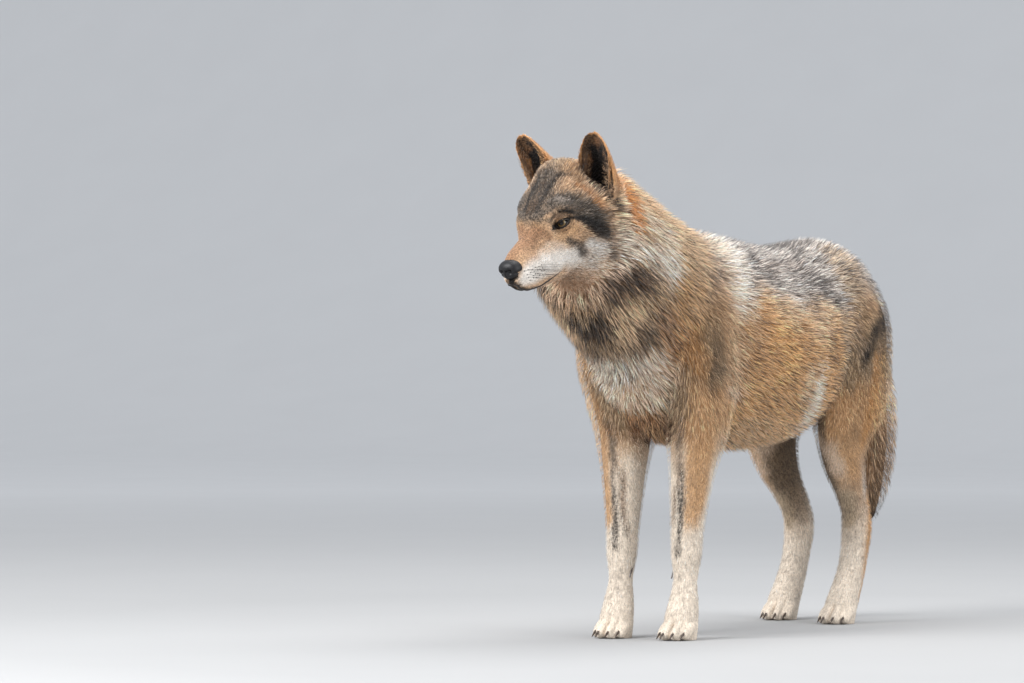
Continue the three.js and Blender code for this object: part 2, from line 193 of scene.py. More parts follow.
def oval_tube(rows, domes=(12, 12), around=48, steps=8, share=UNDERFUR):
    """A closed tube with domed ends: centre + across * wide cos a + up * (back or belly) sin a."""
    bend = np.radians(np.linspace(85, 12, 6))
    t = np.linspace(0, len(rows) - 1, (len(rows) - 1) * steps + 1)
    scale = np.concatenate([np.cos(bend), np.ones(len(t)), np.cos(bend[::-1])])[:, None]
    push = np.concatenate([-domes[0] * np.sin(bend), np.zeros(len(t)), domes[1] * np.sin(bend[::-1])])
    t = np.concatenate([np.zeros(6), t, np.full(6, len(rows) - 1.0)])
    centre, along, across, up, size = axes_along(rows, t)
    wide, back, belly = ((size[:, k] + share * size[:, k + 3])[:, None] for k in (0, 1, 2))
    a = np.linspace(0, 2 * np.pi, around, endpoint=False)[None]
    x = wide * scale * np.cos(a)
    z = np.where(np.sin(a) > 0, back, belly) * scale * np.sin(a)
    spine = (centre + along * push[:, None])[:, None]
    points = spine + across[:, None] * x[..., None] + up[:, None] * z[..., None]
    return points.reshape(-1, 3), tube_faces(len(t), around)


EAR_AXIS = EAR_TIP - EAR_BASE
EAR_ALONG = unit(EAR_AXIS)
EAR_OPENS = np.array([0.05, -1, 0.1])
EAR_OPENS = unit(EAR_OPENS - EAR_ALONG * (EAR_OPENS @ EAR_ALONG))
EAR_ACROSS = np.cross(EAR_ALONG, EAR_OPENS)


def flare(rise):
    """Half the ear's width before it is drawn in to the tip, at a share of its length."""
    return EAR_WIDTH * (1 + 0.1 * np.clip(rise, 0, 1))


def on_ear(face):
    """Where points of the head's left half are on its ear: up it as a share, across it, and behind it."""
    reach = face - EAR_BASE
    return reach @ EAR_ALONG / np.linalg.norm(EAR_AXIS), reach @ EAR_ACROSS, -(reach @ EAR_OPENS)


def ear_leaf(side):
    """An ear as a cupped leaf: at each height an arc of the cup's wall, its width drawn in to the tip."""
    h = np.linspace(-0.2, 1, 25)[:, None]
    rise = np.maximum(h, 0)
    width = flare(rise) * np.sqrt(np.maximum(1 - rise**1.9, 0.012))
    cup, wall = EAR_CUP * (1 - 0.8 * rise), EAR_WALL * (1 - 0.35 * rise)
    outer, inner = np.radians(np.linspace(-80, 80, 21)), np.radians(np.linspace(68, -68, 17))
    x = np.concatenate([width * np.sin(outer), (width - 0.7 * wall) * np.sin(inner)], 1)
    y = np.concatenate([(cup + wall) * np.cos(outer), cup * np.cos(inner)], 1)
    points = (EAR_BASE + EAR_AXIS * h)[:, None] + EAR_ACROSS * x[..., None] - EAR_OPENS * y[..., None]
    return from_head(points.reshape(-1, 3) * [side, 1, 1]), tube_faces(25, 38)


def step_at(z):
    """The share of a hind foot's step taken at height z: (620 - z) / 432, kept from 0 to 1."""
    return np.clip((620 - z) / (620 - 188), 0, 1)


def stepped(side):
    """A hind leg's rings with the foot moved back, and what is above it by less and less."""
    rows = HINDLEG.copy()
    rows[:, 1] += HIND_STEP[side] * step_at(rows[:, 2])
    return rows


def toe(x, y, across, back, size):
    """One toe: an arched sausage from the ball of the foot to the claw."""
    r = TOE_RADIUS * size
    toe_x = x + across * TOE_SPREAD
    return oval_tube(np.array([
        ring([0.1 * x + 0.9 * toe_x, y - 8 + back, 30], [r, r, r], 0),
        ring([toe_x, y - 0.65 * TOE_LENGTH + back, 22], [r, r, r], 0),
        ring([toe_x, y - TOE_LENGTH + back, 9], [0.86 * r, 0.86 * r, 0.86 * r], 0),
    ]), (0, 8), 20, 5)


LEGS = [(rows, side) for side in (1, -1) for rows in (FORELEG, stepped(side))]
solids = [oval_tube(TRUNK, (22, 22)), oval_tube(NECK, (20, 30)), oval_tube(TAIL, (10, 10))]
skull = oval_tube(SKULL, (4, 36))
solids.append((from_head(skull[0]), skull[1]))
solids += [ear_leaf(side) for side in (1, -1)]
for rows, side in LEGS:
    made = [oval_tube(rows, (14, 0)), *[toe(*rows[-2, :2], *place) for place in TOES]]
    solids += [(points * [side, 1, 1], faces) for points, faces in made]


def cast(solids, spacing):
    """The one closed surface round all the solids, as points in mm and its four-sided faces."""
    mesh = bpy.data.meshes.new("form")
    starts = np.cumsum([0, *[len(points) for points, _ in solids]])
    points = (np.concatenate([points for points, _ in solids]) - CENTRE) * MM
    faces = [[k + start for k in face] for start, (_, faces) in zip(starts, solids) for face in faces]
    mesh.from_pydata(points, [], faces)
    form = bpy.data.objects.new("form", mesh)
    bpy.context.scene.collection.objects.link(form)
    remesh = form.modifiers.new("cast", "REMESH")
    remesh.mode = "VOXEL"
    remesh.voxel_size = spacing * MM
    made = bpy.data.meshes.new_from_object(form.evaluated_get(bpy.context.evaluated_depsgraph_get()))
    bpy.data.objects.remove(form)
    bpy.data.meshes.remove(mesh)
    return made


def read(mesh):
    """A mesh's points in mm and its edges."""
    points = np.empty(len(mesh.vertices) * 3, np.float32)
    mesh.vertices.foreach_get("co", points)
    edges = np.empty(len(mesh.edges) * 2, np.int32)
    mesh.edges.foreach_get("vertices", edges)
    return points.reshape(-1, 3).astype(float) / MM + CENTRE, edges.reshape(-1, 2)


def write(mesh, points):
    """Puts moved points back into a mesh."""
    mesh.vertices.foreach_set("co", ((points - CENTRE) * MM).astype(np.float32).ravel())
    mesh.update()


def averaged(values, edges, strength, rounds):
    """Each value moved towards the mean of its neighbours' by strength, several times over."""
    count = np.bincount(edges.ravel(), minlength=len(values))[:, None]
    for _ in range(rounds):
        total = np.stack([
            np.bincount(edges[:, 0], values[edges[:, 1], k], len(values))
            + np.bincount(edges[:, 1], values[edges[:, 0], k], len(values))
            for k in range(values.shape[1])
        ], 1)
        values = values + strength * (total / np.maximum(count, 1) - values)
    return values


def smoothly(value, start, end):
    """0 before start, 1 after end, and an S-shaped run between them."""
    t = np.clip((value - start) / (end - start), 0, 1)
    return t * t * (3 - 2 * t)


form = cast(solids, CAST)
points, edges = read(form)
crease = smoothly(to_head(points)[:, 1], 150, 300)[:, None]  # the body's joins are rounded more than the face
points = averaged(points, edges, 0.5, 4)
points = points + crease * smoothly(points[:, 2:], 60, 140) * (averaged(points, edges, 0.6, 24) - points)

# The face is carved on the cast: sockets, brows, the dished sides of the muzzle, the furrow of the
# forehead, and the lower jaw set back under the lips. Distances are in the head's own axes.

head = to_head(points)
x, y, z = np.abs(head[:, 0]), head[:, 1], head[:, 2]
on_head = 1 - smoothly(y, 235, 270)


def mound(centre, sizes):
    """A soft bump in the head's axes, exp(-d^2), the same on both sides."""
    return np.exp(-sum(((v - c) / s) ** 2 for v, c, s in zip((x, y, z), centre, sizes))) * on_head


outwards = unit(head * [1, 0, 1] - [0, 0, 10])
head = head + outwards * (
    5.0 * mound([36, 134, 66], [16, 16, 9])  # brow
    + 7.0 * mound([48, 128, 84], [22, 30, 26])  # the forehead's full corners
    + 15.0 * mound([0, 196, 120], [44, 34, 30])  # crown
    + 8.0 * mound([0, 46, 24], [20, 40, 18])  # bridge of the muzzle
    + 7.0 * mound([12, 92, 52], [26, 26, 22])  # the slope up to the forehead
    + 5.0 * mound([28, 94, 60], [16, 18, 18])  # inner ends of the brows
    + 3.0 * mound([62, 160, 20], [14, 24, 14])  # cheekbone
    - 3.5 * mound([34, 92, 6], [12, 22, 14])  # hollow before the eye
    + 2.0 * mound([26, 30, -22], [12, 18, 14])  # whisker pad
    - 3.0 * mound([0, 150, 98], [9, 40, 24])  # furrow
    - 11.0 * mound([62, 196, 98], [22, 26, 22])  # in front of the ear
)[:, None]
line = np.interp(y, MOUTH[:, 0], MOUTH[:, 1])
below = smoothly(line - z, -0.5, 3) * (1 - smoothly(y, 108, 134)) * on_head * smoothly(z, -95, -80)
head[:, 0] -= np.sign(head[:, 0]) * np.minimum(4.0, x * 0.2) * below
head[:, 1] += 3.5 * below * (1 - smoothly(y, 10, 40))


def eye_axes(side):
    """The middle of an eye, and the axes out of it, to its outer corner and to its upper lid."""
    gaze = unit(np.array([side * 0.62, -0.76, 0.14]))
    level = unit(np.array([side * 0.76, 0.62, 0.0]))
    upright = side * np.cross(gaze, level)
    tilt = math.radians(16)
    outer = level * math.cos(tilt) + upright * math.sin(tilt)
    return EYE_AT * [side, 1, 1], gaze, outer, upright * math.cos(tilt) - level * math.sin(tilt)


def lid(radius):
    """How far ahead of the eye's middle the lids lie, a dome over it: 2.5 + 11.8 exp(-(r / 12.5)^2.6)."""
    return 2.5 + 11.8 * np.exp(-((np.abs(radius) / EYE_RADIUS) ** 2.6))


ALMOND, UPPER, LOWER = 1.7, 5.4, 6.2  # how pointed the opening between the lids is, and its half heights


def opening(right, over):
    """Where a point of the eye's face is in the almond between the lids: under 1 inside it."""
    return np.abs(right / EYE_RADIUS) ** ALMOND + np.abs(over / np.where(over > 0, UPPER, LOWER)) ** ALMOND


for side in (1, -1):
    middle, gaze, outer, upper = eye_axes(side)
    reach = head - middle
    ahead, right, over = reach @ gaze, reach @ outer, reach @ upper
    radius = np.hypot(right, over)
    wanted = lid(radius) - 6.5 * (opening(right, over) < 1.15)
    near = (1 - smoothly(radius, 14, 24)) * (ahead > -14)
    head += gaze * ((wanted - ahead) * near)[:, None]

# The cup of each ear runs down into the head, where the skull would fill it.
level, off, behind = on_ear(head * [0, 1, 1] + np.abs(head) * [1, 0, 0])
inner_wide = flare(level) - EAR_WALL
back_wall = EAR_CUP * (1 - 0.8 * np.clip(level, 0, 1)) * np.sqrt(np.clip(1 - (off / inner_wide) ** 2, 0, 1))
in_cup = (1 - smoothly(np.abs(off) / inner_wide, 0.7, 0.98)) * smoothly(behind, -2, 7)
in_cup *= (1 - smoothly(behind - back_wall, -7, -2)) * ((level < 0.6) * (level > -0.3))
bottom = -0.08 + 0.2 * (1 - smoothly(behind, 4, 20))
drop = np.minimum(bottom - level, 0) * in_cup
head += (EAR_AXIS * drop[:, None]) * np.stack([np.sign(head[:, 0]), drop * 0 + 1, drop * 0 + 1], 1)
nose_bed = (1 - smoothly(np.abs(head[:, 0]), 15, 20)) * smoothly(head[:, 2], -26, -20)
head[:, 1] += np.maximum(11 - head[:, 1], 0) * nose_bed
points = from_head(head)

# Grooves part the toes on the front of each paw.
for rows, side in LEGS:
    paw_x, paw_y = rows[-2, 0] * side, rows[-2, 1]
    off, ahead = np.abs(points[:, 0] - paw_x), paw_y - points[:, 1]
    groove = np.exp(-((off / 2.6) ** 2)) + np.exp(-(((off - 18) / 2.6) ** 2))
    groove *= smoothly(ahead, 14, 34) * (ahead < 90) * (off < 30) * (1 - smoothly(points[:, 2], 34, 48))
    points += groove[:, None] * [0, 4.5, -3.0]
points[:, 2] = np.maximum(points[:, 2], 0.3)
write(form, points)

# The cast is thinned where the coat hides it, and kept fine on the face and ears.

thinned = bpy.data.objects.new("thinned", form)
bpy.context.scene.collection.objects.link(thinned)
group = thinned.vertex_groups.new(name="plain")
is_plain = to_head(points)[:, 1] > 225
group.add(np.flatnonzero(is_plain).tolist(), 1.0, "REPLACE")
group.add(np.flatnonzero(~is_plain).tolist(), 0.15, "REPLACE")
thin = thinned.modifiers.new("thin", "DECIMATE")
thin.ratio = 0.235
thin.vertex_group = "plain"
thin.use_collapse_triangulate = True
hide_mesh = bpy.data.meshes.new_from_object(thinned.evaluated_get(bpy.context.evaluated_depsgraph_get()))
bpy.data.objects.remove(thinned)

# ---------------------------------------------------------------- lie and depth of the coat
# Hair grows back from the nose over the body and down the legs, and hangs a little on the flanks. Every
# point takes its hair's direction and depth from the rings whose surface passes close to it.

EAR = np.array([
    ring(EAR_BASE - [0, -24, 0], [34, 34, 34], 12),
    ring((EAR_BASE + EAR_TIP) / 2, [30, 24, 24], 9),
    ring(EAR_TIP, [8, 8, 8], 6),
])
UPRIGHT, FLIP, ORIGIN = np.eye(3), np.diag([-1.0, 1, 1]), np.zeros(3)
PARTS = [  # the rings, the axes they are in and where, how far the hair hangs, and the number of the part
    (SKULL, HEAD_TURN, HEAD_AT, 0.30, 0),
    (NECK, UPRIGHT, ORIGIN, 0.40, 1),
    (TRUNK, UPRIGHT, ORIGIN, 0.38, 2),
    (TAIL, UPRIGHT, ORIGIN, 0.1, 3),
    (FORELEG, UPRIGHT, ORIGIN, 0.0, 4),
    (FORELEG, FLIP, ORIGIN, 0.0, 4),
    (stepped(1), UPRIGHT, ORIGIN, 0.0, 5),
    (stepped(-1), FLIP, ORIGIN, 0.0, 5),
    (EAR, HEAD_TURN, HEAD_AT, 0.0, 6),
    (EAR, HEAD_TURN @ FLIP, HEAD_AT, 0.0, 6),
]


def lie_of_coat(points, normals):
    """For every point: the hair's direction, the coat's depth, how high round the body it is from -1 to 1,
    how much each part owns it, and its place along and around the part that owns most. A ring's pull is
    exp(-(gap to its surface / 18)^2 - (offset along / 24)^2)."""
    count = len(points)
    pull, flow = np.zeros((count, len(PARTS))), np.zeros((count, 3))
    depth, height = np.zeros(count), np.zeros(count)
    chart, best = np.zeros((count, 2)), np.zeros(count)
    for k, (rows, turn, at, hang, _) in enumerate(PARTS):
        t = np.linspace(0, len(rows) - 1, max(4 * (len(rows) - 1), 9))
        centre, along, across, up, size = axes_along(rows, t)
        local = (points - at) @ turn
        reach = local[:, None] - centre[None]
        dx, dy, dz = ((reach * axis[None]).sum(-1) for axis in (across, along, up))
        flesh = size[:, :3] + UNDERFUR * size[:, 3:]
        half = np.where(dz > 0, flesh[:, 1], flesh[:, 2])
        radial = np.hypot(dx / flesh[:, 0], dz / half)
        gap = (radial - 1) * (flesh.mean(1))
        score = np.exp(-np.minimum((gap / 18) ** 2 + (dy / 24) ** 2, 60)) + 1e-12
        total = score.sum(1)
        high = np.clip(dz / half / np.maximum(radial, 0.3), -1, 1)
        coat = size[:, 3] * (1 - high**2) + np.where(high > 0, size[:, 4], size[:, 5]) * high**2
        mean = lambda values: (score * values).sum(1) / total
        own = total**2
        pull[:, k] = own
        way = unit((score[..., None] * along).sum(1)) @ turn.T
        flow += own[:, None] * unit(way - [0, 0, hang] * (1 - mean(high)[:, None] ** 2))
        depth += own * mean(coat)
        height += own * mean(high)
        first = score.argmax(1)
        s = np.concatenate([[0], np.cumsum(np.linalg.norm(np.diff(centre, axis=0), axis=1))])
        pick = (np.arange(count), first)
        here = np.stack([s[first] + dy[pick], np.arctan2(dz[pick], dx[pick]) * flesh[first].mean(1)], 1)
        chart = np.where((own > best)[:, None], here, chart)
        best = np.maximum(best, own)
    total = pull.sum(1)
    flow = flow - normals * (flow * normals).sum(1, keepdims=True)
    return unit(flow), depth / total, height / total, pull / total[:, None], chart


def normals_of(mesh):
    """The unit normal at each point of a mesh."""
    values = np.empty(len(mesh.vertices) * 3, np.float32)
    mesh.vertices.foreach_get("normal", values)
    return values.reshape(-1, 3).astype(float)


hide, hide_edges = read(hide_mesh)
hide_normals = normals_of(hide_mesh)
flow, depth, height, pull, chart = lie_of_coat(hide, hide_normals)
flow = averaged(flow, hide_edges, 0.6, 14)
flow = unit(flow - hide_normals * (flow * hide_normals).sum(1, keepdims=True))
part_of = np.array([part[4] for part in PARTS])
share = np.stack([pull[:, part_of == k].sum(1) for k in range(7)], 1)
face = to_head(hide)
face_out = hide_normals @ HEAD_TURN
mirror = np.where(face[:, :1] < 0, [[-1.0, 1, 1]], [[1.0, 1, 1]])
depth *= 1 - 0.5 * share[:, 0] * (1 - smoothly(face[:, 1], 200, 240))
upper_leg = share[:, 4] * smoothly(hide[:, 2], 300, 420) + share[:, 5] * smoothly(hide[:, 2], 340, 430)
depth *= 1 + 0.7 * upper_leg
ruff = smoothly(face[:, 1], 200, 240) * (1 - smoothly(face[:, 1], 290, 340))
depth *= 1 - 0.45 * smoothly(face[:, 2], 20, 80) * ruff


def in_ear(face, face_out):
    """How far each point is on the inside of an ear, from 0 to 1, and its place across the cup and up it."""
    level, off, behind = on_ear(face * mirror)
    face_out = face_out * mirror
    facing = smoothly(face_out @ EAR_OPENS, -0.05, 0.4)
    facing += smoothly(face_out @ EAR_ALONG, 0.6, 0.9) * (level < 0.2)  # the cup's floor looks up
    width = flare(level) * np.sqrt(np.clip(1 - np.clip(level, 0, 1) ** 1.9, 0.05, 1))
    within = (np.abs(off) < 0.86 * width) & (level > -0.22) & (level < 0.93)
    within &= (behind > 3) & (behind < EAR_CUP + 4)
    return np.clip(facing, 0, 1) * within, off / width, level


cup, cup_across, cup_up = in_ear(face, face_out)
share[:, 6] = np.maximum(share[:, 6], cup)
share[:, :6] *= (1 - cup)[:, None]
edge = cup * smoothly(np.abs(cup_across), 0.35, 0.7) * (1 - smoothly(cup_up, 0.5, 0.9))
depth = depth * (1 - cup) + cup * (5 + 15 * edge)
inwards = -np.sign(cup_across)[:, None] * (EAR_ACROSS * mirror) @ HEAD_TURN.T
forwards = (EAR_OPENS * mirror) @ HEAD_TURN.T
flow = unit(flow + inwards * (1.3 * edge)[:, None] + forwards * (0.5 * edge)[:, None])

# ---------------------------------------------------------------- markings
# Each hair is banded, so a patch of coat is given by three things: the colour of its underfur, the colour
# of its guard hairs, and the share of them that end in a dark tip. Patches are laid along strokes.


def linear(colour):
    """An sRGB hex colour, turned to linear light."""
    c = np.array([int(colour[k : k + 2], 16) for k in (0, 2, 4)]) / 255
    return np.where(c <= 0.04045, c / 12.92, ((c + 0.055) / 1.055) ** 2.4)


def shade(under, over, ticked):
    """Underfur colour, guard hair colour and share of dark tips, as one row of numbers."""
    return np.array([*linear(under), *linear(over), ticked])


CREAM = shade("d8ba9c", "f4dcc8", 0.07)
PALE = shade("e2d1bb", "f9ecde", 0.02)
WHITE = shade("f0e6da", "fffaf4", 0.01)
PEACH = shade("be946a", "deb68c", 0.12)
FAWN = shade("c69e78", "e2be9a", 0.18)
TAN = shade("b08a64", "cfa980", 0.14)
GREYTAN = shade("9a8062", "c6aa8a", 0.34)
OCHRE = shade("a8794c", "d2a574", 0.20)
ORANGE = shade("bc8850", "e2b078", 0.10)
NAPE = shade("b46c32", "d69252", 0.04)
RUST = shade("b88050", "deaa74", 0.10)
RUSTTAN = shade("a8784a", "c8966a", 0.06)
SILVER = shade("a8988a", "d8ccc2", 0.44)
GRIZZLE = shade("80705e", "a6968a", 0.48)
UMBER = shade("483626", "6c523c", 0.55)
RUSTDARK = shade("4a2e1e", "6a422c", 0.30)
HOAR = shade("4a423a", "7c7268", 0.62)
BLACK = shade("211c19", "2e2825", 0.9)
SOOT = shade("181412", "1e1a18", 1.0)
BRICK = shade("8c6040", "b4855e", 0.18)
TAUPE = shade("b09a80", "cfba9e", 0.14)
CINNAMON = shade("8e684c", "b08868", 0.22)
PINK = shade("c09878", "dcbca0", 0.10)
TIP = linear("241e1a")

# The head's strokes are in its own axes, and the body's in the whole body's; each point of a stroke is
# x, y, z and the stroke's radius there. Both sides of the wolf are marked alike.
HEAD_STROKES = [
    (CREAM, 0.9, [(60, 150, -60, 40), (86, 190, -50, 44), (96, 230, -40, 44)]),
    (PINK, 0.9, [(0, 60, -66, 22), (0, 130, -100, 40), (30, 180, -110, 44)]),
    (HOAR, 0.9, [(14, 98, 66, 18), (34, 108, 66, 14)]),
    (CINNAMON, 0.7, [(26, 92, 40, 10), (36, 92, 28, 9)]),
    (HOAR, 0.9, [(0, 104, 80, 22), (0, 140, 105, 34), (0, 168, 120, 30)]),
    (HOAR, 0.95, [(36, 122, 86, 15), (60, 144, 84, 18), (80, 168, 66, 18), (94, 190, 36, 18)]),
    (HOAR, 1.0, [(70, 146, 56, 10), (84, 166, 38, 14), (100, 200, 8, 15), (106, 222, -16, 12)]),
    (GREYTAN, 0.9, [(0, 214, 136, 26), (26, 206, 130, 20), (50, 196, 108, 10)]),
    (BLACK, 0.75, [
        (54, 196, 122, 4), (24, 172, 121, 5), (16, 140, 103, 5), (14, 118, 90, 5), (14, 100, 76, 5)]),
    (UMBER, 0.7, [(3, 150, 112, 5), (4, 120, 96, 5), (5, 96, 74, 5)]),
    (SILVER, 0.3, [(40, 126, 90, 6), (58, 146, 80, 6)]),
    (RUSTTAN, 0.9, [(50, 185, 95, 7), (63, 196, 81, 8), (77, 194, 66, 8), (83, 200, 50, 7)]),
    (CINNAMON, 0.9, [(0, 7, 10, 14), (0, 39, 22, 22), (4, 66, 32, 24), (16, 84, 44, 14)]),
    (TAN, 0.6, [(14, 88, 58, 6), (28, 96, 54, 7)]),
    (PINK, 0.8, [(25, 34, -3, 8), (26, 60, 4, 9)]),
    (CREAM, 0.85, [(26, 66, 2, 8), (33, 90, 12, 10), (44, 110, 6, 10)]),
    (WHITE, 0.9, [(28, 24, -18, 14), (34, 71, -16, 17), (43, 104, -18, 19), (51, 136, -26, 19)]),
    (WHITE, 0.9, [(20, 20, -26, 14), (36, 60, -34, 16), (44, 100, -40, 16)]),
    (WHITE, 0.6, [(46, 142, -39, 20), (65, 165, -44, 22)]),
    (FAWN, 0.7, [(32, 100, 64, 5), (38, 108, 66, 5)]),
    (TAN, 0.8, [(42, 118, 20, 10), (52, 132, 24, 9), (62, 142, 28, 8)]),
    (HOAR, 0.75, [(52, 127, 10, 6), (57, 150, -8, 9), (55, 158, -25, 9)]),
    (SOOT, 0.95, [(68, 154, 44, 6), (76, 170, 30, 11), (78, 186, 10, 13), (78, 202, -3, 10)]),
    (WHITE, 0.85, [(68, 168, -10, 11), (76, 186, -28, 16)]),
    (HOAR, 0.8, [(84, 200, -6, 10), (84, 208, -30, 12), (80, 210, -54, 10)]),
    (SOOT, 0.9, [(80, 225, 60, 8), (85, 231, 40, 9)]),
    (PINK, 0.9, [(38, 127, 57, 5), (46, 136, 57, 4), (53, 140, 55, 4)]),
    (UMBER, 0.9, [(34, 110, 62, 4), (42, 119, 67, 4)]),
    # Painted shade: the crease over each upper lid, drawn as a black line.
    (SOOT, 1.0, [(47, 124, 68, 4), (56, 135, 65, 5), (62, 143, 60, 4)]),
    (SOOT, 1.0, [(55, 142, 50, 4), (66, 149, 46, 4)]),
    (SOOT, 1.0, [(31, 128, 39, 6), (32, 117, 39, 6), (36, 105, 38, 4)]),
    (NAPE, 1.0, [
        (42, 286, 76, 24), (62, 298, 56, 26), (86, 296, 30, 24), (98, 292, 2, 20), (106, 284, -30, 15)]),
    (SOOT, 1.0, [(0, 2, -27, 11), (0, -2, -40, 12), (13, 8, -45, 10), (19, 28, -59, 8)]),
    (UMBER, 0.9, [(6, 12, -46, 10), (9, 34, -58, 9), (12, 60, -64, 8)]),
]
